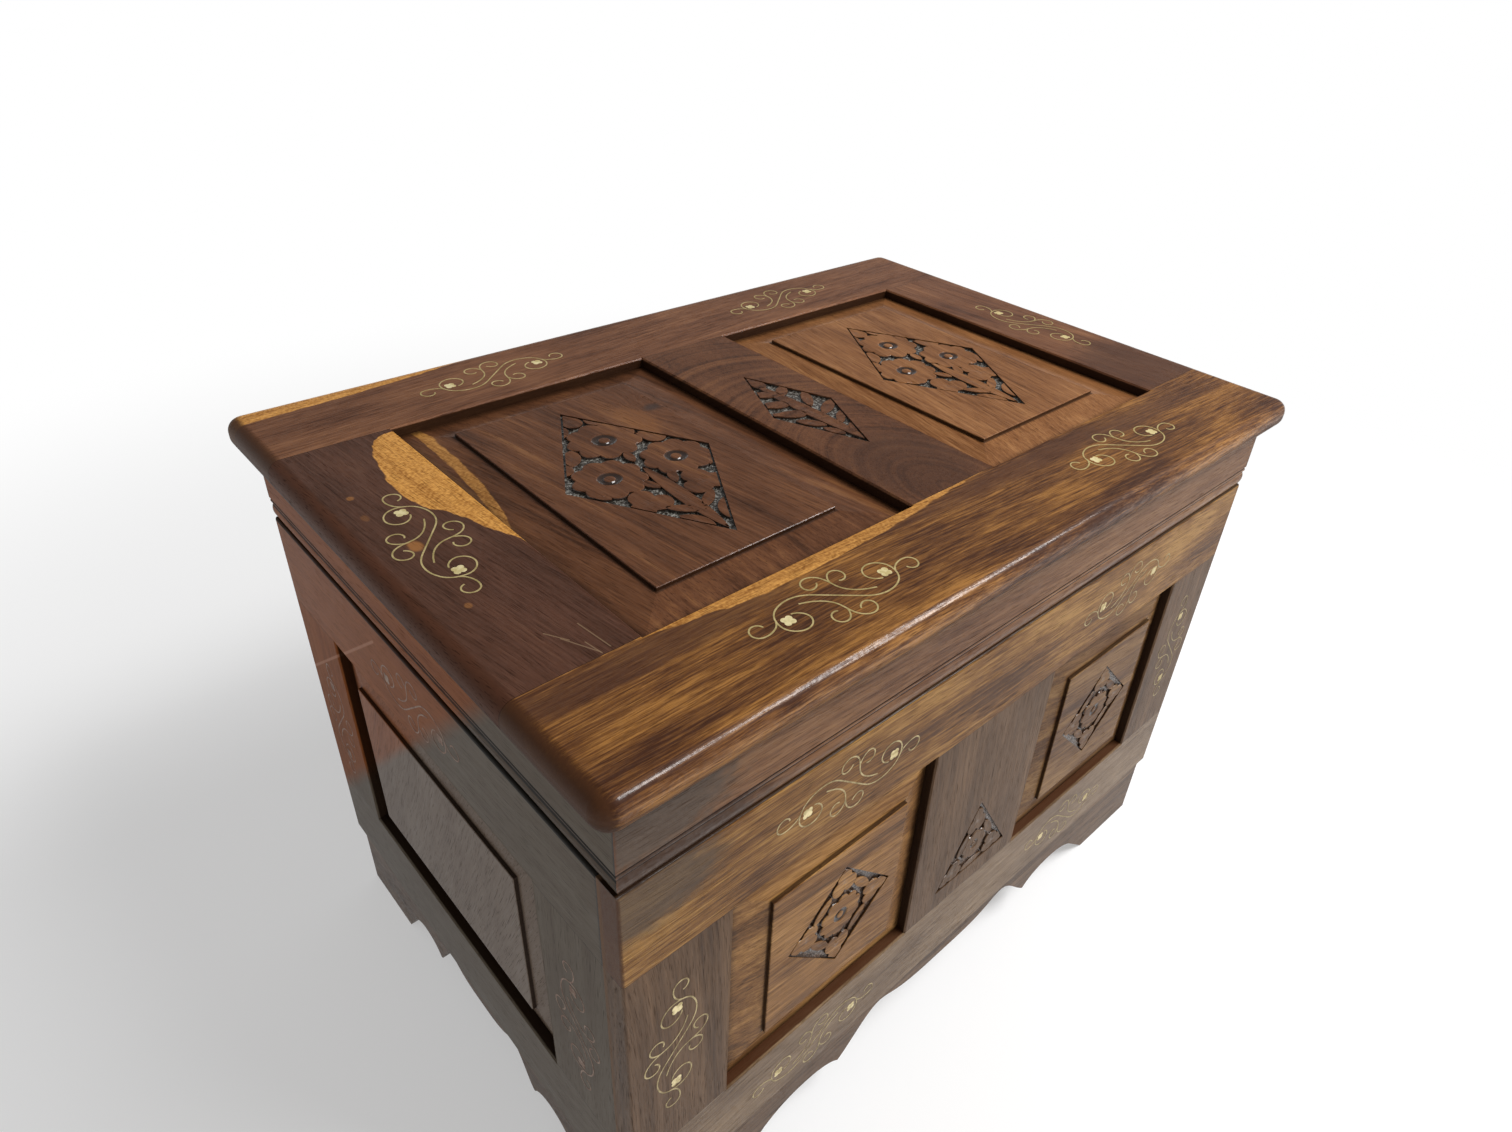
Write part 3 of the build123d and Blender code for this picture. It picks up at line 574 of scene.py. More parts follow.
# %% A board of rosewood
def rosewood(name, order, palette, heart, lean=0.04, tilt=0.0, rings=90, knot=None, contrast=3.4,
             grain=STRIPED, patches=(), sap=(), sap_share=1.0, end_depth=(0.0, 2.5), scratches=(),
             lines=(), lacquer=0.3, gloss=0.1, rippled=(), fade=None, wall=STAIN_AND_SHADE, dull=(), carving=None,
             wax=GROUND_AND_GLINTS_GREY):
    board = Board(name, order, gloss)
    read_grain(board, heart, lean, tilt, rings, knot)
    colour_wood(board, palette, contrast, grain, patches, sap, sap_share, knot)
    mark_wood(board, end_depth, scratches, lines)
    lay_lacquer(board, lacquer, rippled)
    age(board, palette is not BARE_WOOD, fade, wall, dull)
    if carving:
        stain_ground(board, carving, wax)
    board.finish_with(Base_Color=board.wood, Roughness=board.rough, Coat_Weight=board.coat)
    return board.finish_with(Normal=board.bump(board.relief, 0.10 * MM, 0.6))


finished = set()


def finish_board(name, *wood, **more):
    dress(nodes[name], rosewood(name, *wood, **more))
    finished.add(name)


print("rosewood is ready for", len(nodes), "nodes")

# %% [markdown]
# ## The lid
# The lid is a frame of two rails and three uprights with two raised panels. On four of its boards an edge
# of the sapwood is drawn as points (along, across); a scratch is a pair of points.

# %% Sapwood, scratches and carvings of the lid
LEFT_STILE_SAP = [(-40, -281), (-8, -294), (25, -305), (45, -316), (73, -320), (112, -315), (144, -306),
                  (158, -281)]
FRONT_RAIL_SAP = [(-292, -163), (-240, -171), (-180, -177), (-110, -175.5), (-30, -169), (40, -162)]
BACK_RAIL_SAP = [(-376, 232), (-300, 236), (-200, 246), (-140, 260)]
LEFT_PANEL_SAP = [(-60, -288), (-13, -279), (34, -268), (89, -262), (170, -261)]
LEFT_PANEL_HEART = [(-60, -284), (4, -280), (50, -274), (105, -270), (170, -269)]
LID_TOP = 540
LID_FIELD = 539
LID_MIDDLES = {"left": (-166.5, 0), "right": (165, 0)}
LID_LOZENGE = (64.5, 110)
MUNTIN_LOZENGE = (33.5, 77.5)
PALE_SPOT = (0.300, 0.125, 0.035)
SCRATCHED = (0.230, 0.150, 0.085)
STILE_SCRATCHES = [((-130, -305), (-159, -302)), ((-136, -320), (-160, -309)), ((-147, -311), (-161, -309)),
                   ((-126, -325), (-140, -317))]

# %% [markdown]
# Each board is named with the axes of its grain, its palette and the place of the heart of its log. Then
# comes what sets it apart: sapwood, patches, worn strips and its carving.

# %% Boards of the lid
LID_NOSE = (6.0, 10.5)
# The underside and the left end of the lid's nose lose their coat and are painted a little darker, as
# painted shade.
UNDER_NOSE = ("z", 511, 526)
SHADED_DULL_NOSE = [("x", -378, -365), UNDER_NOSE]
finish_board("lid_front_rail", "xyz", GOLDEN, (-150, 440), lean=0.03, contrast=4.6,
             sap=[(FRONT_RAIL_SAP, 1)], sap_share=0.85, end_depth=LID_NOSE, grain=FLECKED, dull=SHADED_DULL_NOSE,
             lacquer=0.38, rippled=[("y", -262, -243)],
             patches=[((-290, -178), (150, 17), (0.062, 0.023, 0.011), 0.7),
                      ((60, -178), (170, 14), (0.085, 0.032, 0.013), 0.6),
                      ((230, -186), (90, 14), (0.090, 0.036, 0.016), 0.5)])
finish_board("lid_back_rail", "xyz", RED_BROWN, (330, 470), lean=-0.05, contrast=3.2,
             sap=[(BACK_RAIL_SAP, 1)], end_depth=LID_NOSE, grain=FLECKED, dull=SHADED_DULL_NOSE)
finish_board("lid_left_stile", "yxz", DARK, (-420, 480), lean=0.1, contrast=2.6, gloss=0.05,
             sap=[(LEFT_STILE_SAP, 1)], grain=FLECKED, dull=SHADED_DULL_NOSE,
             patches=[((20, -374), (330, 11), (0.125, 0.048, 0.026), 0.8),
                      ((1, -340.7), (9, 6), PALE_SPOT, 0.8), ((-76, -345), (4, 3), PALE_SPOT, 0.5),
                      ((81, -348.6), (3.5, 3), PALE_SPOT, 0.6), ((51, -351.4), (6, 3), PALE_SPOT, 0.25)],
             scratches=[(start, end, 0.6, SCRATCHED) for start, end in STILE_SCRATCHES])
finish_board("lid_muntin", "yxz", MUNTIN_BROWN, (-8, 441), lean=0.02, tilt=0.6, rings=170, contrast=3.6,
             grain=ARCHED, carving=((0, 0), MUNTIN_LOZENGE, "z", LID_TOP, 1),
             patches=[((-120, 0), (75, 70), (0.056, 0.023, 0.012), 0.6)])
finish_board("lid_right_stile", "yxz", RED_BROWN, (300, 470), lean=0.06, contrast=3.4, dull=[UNDER_NOSE],
             patches=[((-130, 330), (95, 70), (0.060, 0.024, 0.012), 0.7)])
finish_board("lid_left_panel", "yxz", WARM, (-120, 470), lean=0.16, contrast=3.1,
             knot=(77, -99), sap=[(LEFT_PANEL_SAP, -1), (LEFT_PANEL_HEART, 1)], sap_share=0.6,
             carving=(LID_MIDDLES["left"], LID_LOZENGE, "z", LID_FIELD, 1),
             patches=[((66, -122), (34, 17), (0.240, 0.095, 0.028), 0.3),
                      ((60, -281), (120, 8), (0.190, 0.085, 0.028), 0.7)])
finish_board("lid_right_panel", "yxz", ORANGE, (210, 470), lean=-0.12, contrast=3.2,
             carving=(LID_MIDDLES["right"], LID_LOZENGE, "z", LID_FIELD, 1), grain=FLECKED)
print(len(finished), "lid boards finished")

# %% [markdown]
# Below the lid's boards hangs a skirt with a broad and a small bead under it, which close on the rim of the
# chest. Thin dark lines are painted in the two grooves beside the small bead and on the rim itself: painted
# shade under the lid, with some dirt.

# %% Skirts and beads of the lid
SKIRT_BROWN = [(0.070, 0.025, 0.009), (0.125, 0.052, 0.019), (0.175, 0.080, 0.030), (0.250, 0.125, 0.050)]
# Painted reflection: colours that grey the low front half of the left end up to a slanting line, on its
# boards, its panel and its bead.
END_REFLECTION = ("yz", 398, 368, (0.47, 1.14, 2.75))
PANEL_REFLECTION = ("yz", 394, 376, (0.62, 1.36, 3.25))
BEAD_REFLECTION = ("yz", 398, 368, (0.30, 0.62, 1.30))
# Painted shade, with some dirt, in the grooves beside the beads and on the rim.
GROOVE_SHADE_AND_DIRT = [("z", 467.3, 469.6), ("z", 463.2, 464.7), ("z", 449.0, 451.2)]
RIM_SHADE_AND_DIRT = [("z", 449.3, 451.0)]
END_GROOVE_SHADE_AND_DIRT = [("z", 466.6, 470.0), ("z", 461.6, 464.9), ("z", 448.4, 452.0)]
END_RIM_SHADE_AND_DIRT = [("z", 447.8, 451.0)]
END_LOOK = {"contrast": 2.0, "gloss": 0.04}
for side in ("front", "back"):
    finish_board(f"lid_{side}_skirt", "xzy", SKIRT_BROWN, (700, -40), contrast=2.8, lacquer=0.2,
                 grain=FLECKED, patches=[((-335, 495), (75, 40), (0.060, 0.045, 0.034), 0.8)])
    finish_board(f"lid_{side}_bead", "xzy", SKIRT_BROWN, (700, -40), lacquer=0.34, lines=GROOVE_SHADE_AND_DIRT,
                 rippled=[("x", -380, -230)],
                 patches=[((-345, 458), (130, 60), (0.034, 0.017, 0.010), 0.85)])
# Painted light: the left end, in shade, gets a brighter red than the lit right end.
END_WOOD_BY_LIGHT = {"left": PAINTED_LIGHT_RED, "right": RED_BROWN}
for side, wood in END_WOOD_BY_LIGHT.items():
    fade, bead_fade = (END_REFLECTION, BEAD_REFLECTION) if side == "left" else (None, None)
    finish_board(f"lid_{side}_skirt", "yzx", wood, (700, 40), lacquer=0.05, fade=fade, **END_LOOK)
    finish_board(f"lid_{side}_bead", "yzx", wood, (700, 40), lacquer=0.06, fade=bead_fade,
                 lines=END_GROOVE_SHADE_AND_DIRT, **END_LOOK)
print(len(finished), "boards finished")

# %% [markdown]
# ## The front
# The front is the show side: a golden top rail and golden panels whose grain runs sideways, framed by
# greyer uprights. The lacquer is thinner here than on the lid. The stained triangle of the muntin is
# described as the upper half of a lozenge.

# %% Boards of the front
FRONT_FACE = -242.5
FRONT_FIELD = -241.5
FRONT_MIDDLES = {"left": (-167.5, 263), "right": (180.5, 263)}
FRONT_LOZENGE = (54, 55)
TRIANGLE_BASE = (8.75, 177.5)
TRIANGLE_SIZE = (49.3, 85.5)
FRONT_LACQUER = 0.14
finish_board("front_top_rail", "xzy", FRONT_GOLD, (460, -420), lean=0.05, contrast=4.4,
             lacquer=FRONT_LACQUER, grain=FLECKED, lines=RIM_SHADE_AND_DIRT,
             patches=[((-340, 432), (70, 34), (0.070, 0.048, 0.032), 0.8)])
# The floor of the opening on this rail takes a dark red as its painted shade.
finish_board("front_bottom_rail", "xzy", FRONT_GREY, (60, -420), lean=-0.03, lacquer=0.28,
             grain=FLECKED, wall=RED_RECESS_SHADE)
for name, heart in (("front_left_stile", -420), ("front_muntin", 20), ("front_right_stile", 420)):
    carving = (TRIANGLE_BASE, TRIANGLE_SIZE, "y", FRONT_FACE, -1) if name == "front_muntin" else None
    finish_board(name, "zxy", GREY_BROWN, (heart, -380), lean=0.05, contrast=2.6, lacquer=FRONT_LACQUER,
                 carving=carving, wax=GROUND_AND_GLINTS_BROWN)
for side, palette in (("left", PANEL_GOLD), ("right", FRONT_PANEL)):
    finish_board(f"front_{side}_panel", "xzy", palette, (200, -420), lean=0.12, contrast=3.8,
                 lacquer=FRONT_LACQUER, wax=GROUND_AND_GLINTS_BROWN,
                 carving=(FRONT_MIDDLES[side], FRONT_LOZENGE, "y", FRONT_FIELD, -1))
print(len(finished), "boards finished")

# %% [markdown]
# ## The ends and the back
# The two ends are alike: two uprights, two rails and one raised panel. The left end stands in shade and is
# given a brighter red as painted light; its low front half is greyed up to a slanting line as a painted
# reflection. The right end faces the lamp and gets a darker red-brown. The back stands against a wall, so
# its boards are the plainest.

# %% Boards of the ends and the back
SCAR = (0.440, 0.220, 0.140)
for side, way in (("left", -1), ("right", 1)):
    wood = END_WOOD_BY_LIGHT[side]
    fade, panel_fade = (END_REFLECTION, PANEL_REFLECTION) if side == "left" else (None, None)
    for rail, height in (("top_rail", 700), ("bottom_rail", -300)):
        finish_board(f"{side}_{rail}", "yzx", wood, (height, 40 * way), lacquer=0.08, fade=fade,
                     lines=END_RIM_SHADE_AND_DIRT, **END_LOOK,
                     scratches=[((64, 432), (145, 368), 1.8, SCAR)] if side == "left" else ())
    finish_board(f"{side}_back_stile", "zyx", wood, (420, 500 * way), lacquer=0.03, fade=fade,
                 **END_LOOK, scratches=[((355, 162), (292, 242), 1.8, SCAR)] if side == "left" else ())
    finish_board(f"{side}_front_stile", "zyx", wood, (-420, 500 * way), lacquer=0.05, fade=fade,
                 **END_LOOK)
    finish_board(f"{side}_panel", "zyx", wood, (60, 520 * way), lean=0.5, contrast=2.4, lacquer=0.12,
                 grain=FLECKED, fade=panel_fade)
for rail, height in (("top_rail", 640), ("bottom_rail", -200)):
    finish_board(f"back_{rail}", "xzy", RED_BROWN, (height, 420), lacquer=0.25)
for name, x in (("back_left_stile", -400), ("back_muntin", 60), ("back_right_stile", 400)):
    finish_board(name, "zxy", RED_BROWN, (x, 400), lacquer=0.25)
for side in ("left", "right"):
    finish_board(f"back_{side}_panel", "xzy", GREY_BROWN, (150, 440), lean=0.1, lacquer=0.25)
print(len(finished), "boards finished")

# %% [markdown]
# The plinth takes the knocks. Inside, the bottom, the cleats, the posts and the blocks were never stained
# or lacquered, so they get the bare wood with hardly any coat.

# %% Plinth and inside
for side in ("front", "back"):
    finish_board(f"plinth_{side}", "xzy", GREY_BROWN, (-300, 0), lacquer=0.22)
for side in ("left", "right"):
    finish_board(f"plinth_{side}", "yzx", GREY_BROWN, (-300, 0), lacquer=0.2)
INSIDE = {"bottom_board": "xyz", "bottom_cleats": "xyz", "corner_posts": "zxy",
          "plinth_corner_blocks": "zxy", "lid_corner_blocks": "zxy"}
for name, order in INSIDE.items():
    finish_board(name, order, BARE_WOOD, (800, 300), contrast=2.4, lacquer=0.04)
print(len(finished), "boards finished")

# %% [markdown]
# ## Carved flowers
# A village carver draws flowers and leaves on the flat field, cuts the ground away with a chisel to the
# depth of 3 mm and leaves the drawing standing. So the flowers are flat on top, level with the wood
# around them, and end in steep little walls. Each shape is made in its own bmesh with its middle at the
# origin, then turned, trimmed at the border and dropped into the carving.

# %% Trim, turn and collect carved shapes
CARVED_DEEP = 3.0
GROUND_RISE = 0.25
FLUSH = -0.06
LEAF_SUNK = -0.2
BORDER_OVERLAP = 0.25
BORDER_GAP = 1.6
LEAF_EDGE = 0.35
LEAF_DISH = 0.25


def trim(shape, border, beyond, closed=True):
    """Cuts off what lies beyond a border of corners that run anticlockwise, and closes the cuts."""
    for start, end in zip(border, border[1:] + border[:1]):
        side = Vector((end[0] - start[0], end[1] - start[1], 0)).normalized()
        outward = Vector((side.y, -side.x, 0))
        corner = Vector((start[0] * MM, start[1] * MM, 0)) + outward * beyond * MM
        parts = shape.verts[:] + shape.edges[:] + shape.faces[:]
        bmesh.ops.bisect_plane(shape, geom=parts, plane_co=corner, plane_no=outward, clear_outer=True)
        if closed:
            bmesh.ops.holes_fill(shape, edges=[edge for edge in shape.edges if edge.is_boundary])


def collect(carving, shape):
    bmesh.ops.recalc_face_normals(shape, faces=shape.faces)
    carried = bpy.data.meshes.new("carried")
    shape.to_mesh(carried)
    carving.from_mesh(carried)
    bpy.data.meshes.remove(carried)
    shape.free()


def place(carving, shape, u, v, turn, border):
    """Turns a shape, moves it to its place in the carving, trims it there and adds it."""
    bmesh.ops.rotate(shape, verts=shape.verts, matrix=Matrix.Rotation(math.radians(turn), 3, "Z"))
    bmesh.ops.translate(shape, verts=shape.verts, vec=(u * MM, v * MM, 0))
    trim(shape, border, -BORDER_GAP)
    collect(carving, shape)


# %% [markdown]
# A flower is turned from half of its section, like a bowl on a lathe: a button in the middle, a hollow
# ring around it and a flat rim. Then the rim is drawn in between the petals. Eight steps for each petal
# are enough to keep the scallops round.

# %% A flower
STEPS_PER_PETAL = 8
DISH_RADIUS = 33
VALLEY_DEPTH = 0.16


def flower(radius, petals):
    """A flower with its top at the height of the field. The dish is written for a radius of 33 mm."""
    dish = [(0, -0.05), (4.2, -0.1), (5.0, -0.5), (5.8, -1.2), (6.6, -1.45), (7.6, -1.4), (8.8, -1.15)]
    dish += [(9.8, -0.8), (10.6, -0.35), (11.2, 0)]
    section = [(reach * radius / DISH_RADIUS, height) for reach, height in dish]
    section += [(radius * 0.75, 0), (radius - 1.4, 0), (radius - 0.5, -0.35), (radius, -1.1)]
    section += [(radius, -CARVED_DEEP), (0, -CARVED_DEEP)]
    shape = bmesh.new()
    points = [shape.verts.new((r * MM, 0, (z + FLUSH) * MM)) for r, z in section]
    lines = [shape.edges.new(pair) for pair in zip(points, points[1:])]
    bmesh.ops.spin(
        shape, geom=points + lines, axis=(0, 0, 1), cent=(0, 0, 0), angle=math.tau,
        steps=STEPS_PER_PETAL * petals, use_merge=True,
    )
    bmesh.ops.remove_doubles(shape, verts=shape.verts, dist=0.001 * MM)
    for vert in shape.verts:
        reach = math.hypot(vert.co.x, vert.co.y) / (radius * MM)
        angle = math.atan2(vert.co.y, vert.co.x)
        valley = (1 - abs(math.cos(angle * petals / 2))) ** 1.1
        outer = max(0.0, (reach - 0.7) / 0.3)
        vert.co.xy *= 1 - VALLEY_DEPTH * valley * outer
    return shape


# %% [markdown]
# Leaves are cut from a round blank of 32 corners. Their outline is a pinch of the circle: pointed at both
# ends for a leaf or a stem, at one end for a bud, and in three lobes for a leaf of three. The top edge is
# eased with a small bevel, and the middle is sunk a little, as a gouge leaves it.


# %% A leaf, a bud or a leaf of three
def height_of(face):
    return face.calc_center_median().z


def leaf(kind, length, width):
    shape = bmesh.new()
    bmesh.ops.create_circle(shape, cap_ends=True, segments=32, radius=1)
    for vert in shape.verts:
        angle = math.atan2(vert.co.y, vert.co.x)
        across, along = math.sin(angle), math.cos(angle)
        if kind == "leaf":
            across *= abs(math.sin(angle)) ** 0.5
        elif kind == "bud":
            across *= (0.5 - 0.5 * along) ** 0.45 * 1.25
        else:
            lobe = 0.55 + 0.45 * abs(math.cos(1.5 * angle)) ** 0.8
            along, across = along * lobe, across * lobe
        vert.co = (along * length / 2 * MM, across * width / 2 * MM, LEAF_SUNK * MM)
    top = shape.faces[:]
    walls = bmesh.ops.extrude_face_region(shape, geom=top)["geom"]
    bmesh.ops.translate(
        shape, verts=[part for part in walls if isinstance(part, bmesh.types.BMVert)],
        vec=(0, 0, -CARVED_DEEP * MM),
    )
    bmesh.ops.recalc_face_normals(shape, faces=shape.faces)
    top = max(shape.faces, key=height_of)
    bmesh.ops.bevel(
        shape, geom=list(top.edges), offset=min(LEAF_EDGE, width / 14) * MM, segments=2, profile=0.5,
        affect="EDGES", material=-1,
    )
    top = max(shape.faces, key=height_of)
    bmesh.ops.inset_region(shape, faces=[top], thickness=width / 9 * MM, use_even_offset=True)
    top = max(shape.faces, key=lambda face: (round(height_of(face) / MM, 3), len(face.verts)))
    bmesh.ops.poke(shape, faces=[top], offset=-min(LEAF_DISH, width / 40) * MM)
    return shape


# %% [markdown]
# The ground between the flowers is not flat: every push of the chisel leaves a small hollow. A fine grid
# in the shape of the border gets those hollows from a noise, and a little thickness underneath so that it
# is a closed slab.

# %% The chiselled ground
GRID_STEPS = 150
SLAB = 0.3


def chiselled_ground(border):
    middle = Vector((sum(u for u, v in border), sum(v for u, v in border))) / len(border)
    reach = max((Vector(corner) - middle).length for corner in border)
    shape = bmesh.new()
    bmesh.ops.create_grid(shape, x_segments=GRID_STEPS, y_segments=GRID_STEPS, size=reach * MM)
    bmesh.ops.translate(shape, verts=shape.verts, vec=(middle.x * MM, middle.y * MM, 0))
    trim(shape, border, BORDER_OVERLAP, closed=False)
    for vert in shape.verts:
        chisel = noise.noise(Vector((vert.co.x * 300, vert.co.y * 300, 1.7)))
        nick = noise.noise(Vector((vert.co.x * 700, vert.co.y * 700, 5.1)))
        vert.co.z = (GROUND_RISE - CARVED_DEEP + 0.75 * abs(chisel) + 0.25 * nick) * MM
    skirt = bmesh.ops.extrude_face_region(shape, geom=shape.faces[:])["geom"]
    low = [part for part in skirt if isinstance(part, bmesh.types.BMVert)]
    for vert in low:
        vert.co.z = -(CARVED_DEEP + SLAB) * MM
    return shape


# %% [markdown]
# Each carving is a short table of its shapes, drawn from the middle of its own field: what it is, where
# it sits, its size and its turn. No two petals come out alike by hand, so every shape is nudged by a
# fraction of a millimetre with a seeded random number.

# %% The drawings
ROUND_PANEL = [
    ("bud", -1, 96, 26, 17, 90), ("leaf", 15, 83, 20, 11, 122), ("leaf", -16, 82, 18, 9, 58),
    ("bud", -46, 32, 22, 16, 62), ("bud", 37, 38, 26, 18, 118), ("leaf", 3, 19, 17, 8, 84),
    ("leaf", 1, -51, 104, 13, 92), ("three", -25, -44, 38, 36, 215), ("three", 25, -42, 40, 38, -32),
    ("leaf", -9, -66, 30, 9, 138), ("leaf", 12, -64, 26, 9, 40), ("leaf", 11, -24, 20, 8, 66),
    ("leaf", -13, -83, 28, 13, 118), ("leaf", 15, -82, 28, 14, 60), ("leaf", -9, -24, 18, 8, 112),
    ("leaf", -47, -17, 18, 9, -60), ("leaf", 50, -19, 18, 9, 58), ("leaf", -34, 42, 26, 15, 62),
]
SPRIG = [
    ("leaf", 1, -8, 136, 13, 91), ("bud", 0, 62, 24, 13, 90),
    ("bud", -11, 41, 26, 12, 146), ("bud", 11, 38, 22, 11, 44),
    ("bud", -17, 20, 30, 13, 152), ("leaf", 16, 13, 30, 10, 62),
    ("bud", -17, -2, 30, 13, 150), ("leaf", 19, -10, 30, 11, 30),
    ("leaf", -14, -24, 26, 10, 128), ("leaf", 14, -30, 24, 8, 44),
    ("leaf", -8, -45, 20, 8, 114), ("leaf", 8, -50, 18, 7, 60),
]
SMALL_LOZENGE = [
    ("three", 0, 37, 30, 27, 90), ("three", 0, -37, 31, 27, -92),
    ("three", -36, 1, 30, 27, 180), ("three", 36, 0, 31, 26, 4),
    ("leaf", 20, 20, 27, 9, 135), ("leaf", -20, -20, 27, 9, 135),
    ("leaf", 20, -20, 26, 9, 45), ("leaf", -20, 20, 26, 9, 45),
]
TRIANGLE_SPRAY = [
    ("three", 5, 238, 32, 26, 90), ("three", -20, 189, 34, 24, 198), ("three", 37, 189, 34, 24, -18),
    ("leaf", -10, 217, 28, 9, 62), ("leaf", 25, 217, 28, 9, 118), ("leaf", 8, 183, 32, 8, 0),
]
LID_RISE = Matrix.Identity(3)
FRONT_RISE = Matrix(((1, 0, 0), (0, 0, -1), (0, 1, 0)))


def diamond(half_width, half_height):
    return [(0, -half_height), (half_width, 0), (0, half_height), (-half_width, 0)]


# %% [markdown]
# A carving takes the finish of the board it is cut in, because that finish stains and shades whatever lies
# deep and paints glints there. The matrix stands the flat drawing up in its field, and the carving rides
# with its body.

# %% A carving in its pocket
NUDGE = 0.7
TWIST = 4


def carve(node, body, border, flowers, drawing, rise, middle, seed):
    """Makes one carving and stands it in its pocket. middle is the point of the field it is drawn from."""
    name = node.removesuffix("_panel") + "_carving"
    hand = random.Random(seed)
    carving = bmesh.new()
    for u, v, radius, petals in flowers:
        place(carving, flower(radius, petals), u, v, hand.uniform(0, 20), border)
    for kind, u, v, length, width, turn in drawing:
        u, v = u + hand.uniform(-NUDGE, NUDGE), v + hand.uniform(-NUDGE, NUDGE)
        place(carving, leaf(kind, length, width), u, v, turn + hand.uniform(-TWIST, TWIST), border)
    collect(carving, chiselled_ground(border))
    mesh = bpy.data.meshes.new(name)
    carving.to_mesh(mesh)
    carving.free()
    mesh.transform(Matrix.Translation(Vector(middle) * MM) @ rise.to_4x4())
    piece = bpy.data.objects.new(name, mesh)
    bpy.context.scene.collection.objects.link(piece)
    dress(piece, nodes[node].data.materials[0])
    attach(piece, body)
    print(name, len(mesh.polygons), "faces")


# %% [markdown]
# Both lid panels share one drawing, around three large flowers of their own. The triangle on the front
# muntin is drawn in the chest's own heights.

# %% Carve
LID_FLOWERS = {
    "left": [(2.8, 52.4, 30, 9), (-27.7, 0, 28.8, 9), (32, -0.4, 28, 9)],
    "right": [(1, 54, 29.5, 9), (-31, 2, 29, 9), (30, 2, 28.5, 9)],
}
TRIANGLE = [(-40.5, 177.5), (58.0, 177.5), (4.0, 263.0)]
for seed, (side, (x, y)) in enumerate(LID_MIDDLES.items(), 11):
    carve(f"lid_{side}_panel", "lid", diamond(*LID_LOZENGE), LID_FLOWERS[side], ROUND_PANEL, LID_RISE,
          (x, y, LID_FIELD), seed)
carve("lid_muntin", "lid", diamond(*MUNTIN_LOZENGE), [], SPRIG, LID_RISE, (0, 0, LID_TOP), 13)
for seed, (side, (x, z)) in enumerate(FRONT_MIDDLES.items(), 24):
    carve(f"front_{side}_panel", "chest", diamond(*FRONT_LOZENGE), [(0, 0, 22, 10)], SMALL_LOZENGE,
          FRONT_RISE, (x, FRONT_FIELD, z), seed)
carve("front_muntin", "chest", TRIANGLE, [(7, 207, 17, 8)], TRIANGLE_SPRAY, FRONT_RISE,
      (0, FRONT_FACE, 0), 31)

# %% [markdown]
# ## Brass
# The scrolls are thin brass wire hammered into saw cuts, filed flush and lacquered over with the wood. The
# hinges are cast brass that has gone brown where no hand rubs it, and their screws are newer and brighter.
# All are one metal, so one function makes them from the colours of tarnished and of clean brass. The wire is
# given lit and shaded colours, as painted light and shade: brightest on the lid, which faces the light,
# darker on the front and darkest on the ends. On the right, where nobody sits, it is duller than on the
# left.


# %% Brass, bright to brown
def brass(name, tarnished, clean, dull, grain, metallic=1.0):
    finish = Finish(name, Metallic=metallic)
    x, y, z = finish.position()
    place = finish.vector(x, y, z)
    worn = finish.clouds(place, 160.0, 4.0, 0.6).between(0.35, 0.65) * (1 - x.between(-0.05, 0.40) * 0.7)
    hammered = finish.clouds(place, grain, 2.0)
    colour = finish.mix(worn, tarnished, clean)
    rough = worn * -0.15 + hammered * 0.2 + dull
    normal = finish.bump(hammered, 0.05 * MM, 0.5)
    return finish.finish_with(Base_Color=colour, Roughness=rough, Normal=normal)


# Painted light and shade: one wire, brightest on the lid, darker on the front, darkest on the ends.
inlays = {
    "lid_inlay_scrolls": brass("lid_wire", (0.42, 0.33, 0.13), (0.72, 0.58, 0.27), 0.45, 900.0, 0.6),
    "lid_inlay_flowers": brass("lid_flower", (0.62, 0.50, 0.22), (0.95, 0.82, 0.46), 0.45, 500.0, 0.5),
    "front_inlay_scrolls": brass("front_wire", (0.24, 0.18, 0.08), (0.50, 0.40, 0.20), 0.45, 900.0, 0.6),
    "front_inlay_flowers": brass("front_flower", (0.42, 0.33, 0.15), (0.80, 0.68, 0.38), 0.45, 500.0, 0.6),
    "end_inlay_scrolls": brass("end_wire", (0.17, 0.085, 0.055), (0.30, 0.20, 0.145), 0.50, 900.0, 0.4),
    "end_inlay_flowers": brass("end_flower", (0.15, 0.075, 0.045), (0.26, 0.17, 0.12), 0.50, 500.0, 0.4),
}
hinge_brass = brass("hinge_brass", (0.22, 0.13, 0.05), (0.62, 0.45, 0.20), 0.40, 300.0)
screw_brass = brass("screw_brass", (0.40, 0.28, 0.12), (0.80, 0.64, 0.34), 0.30, 500.0)
for name, node in nodes.items():
    if name in inlays:
        dress(node, inlays[name])
    elif name.endswith("screws"):
        dress(node, screw_brass)
    elif name.startswith("hinge"):
        dress(node, hinge_brass)
    elif name not in finished:
        raise ValueError(f"{name} has no finish")
print("brass fitted")

# %% [markdown]
# ## Floor and light
# A studio sweep is only a pale floor that turns white before it reaches the horizon. Near the chest the
# floor takes the shadow, and a little glow keeps that shadow soft and pale. Farther out it glows white, for
# the camera and for everything that mirrors it.

# %% The floor
FLOOR_HALF = 12
SHADOW_REACH = (0.7, 1.8)
SHADOW_GLOW = 0.4

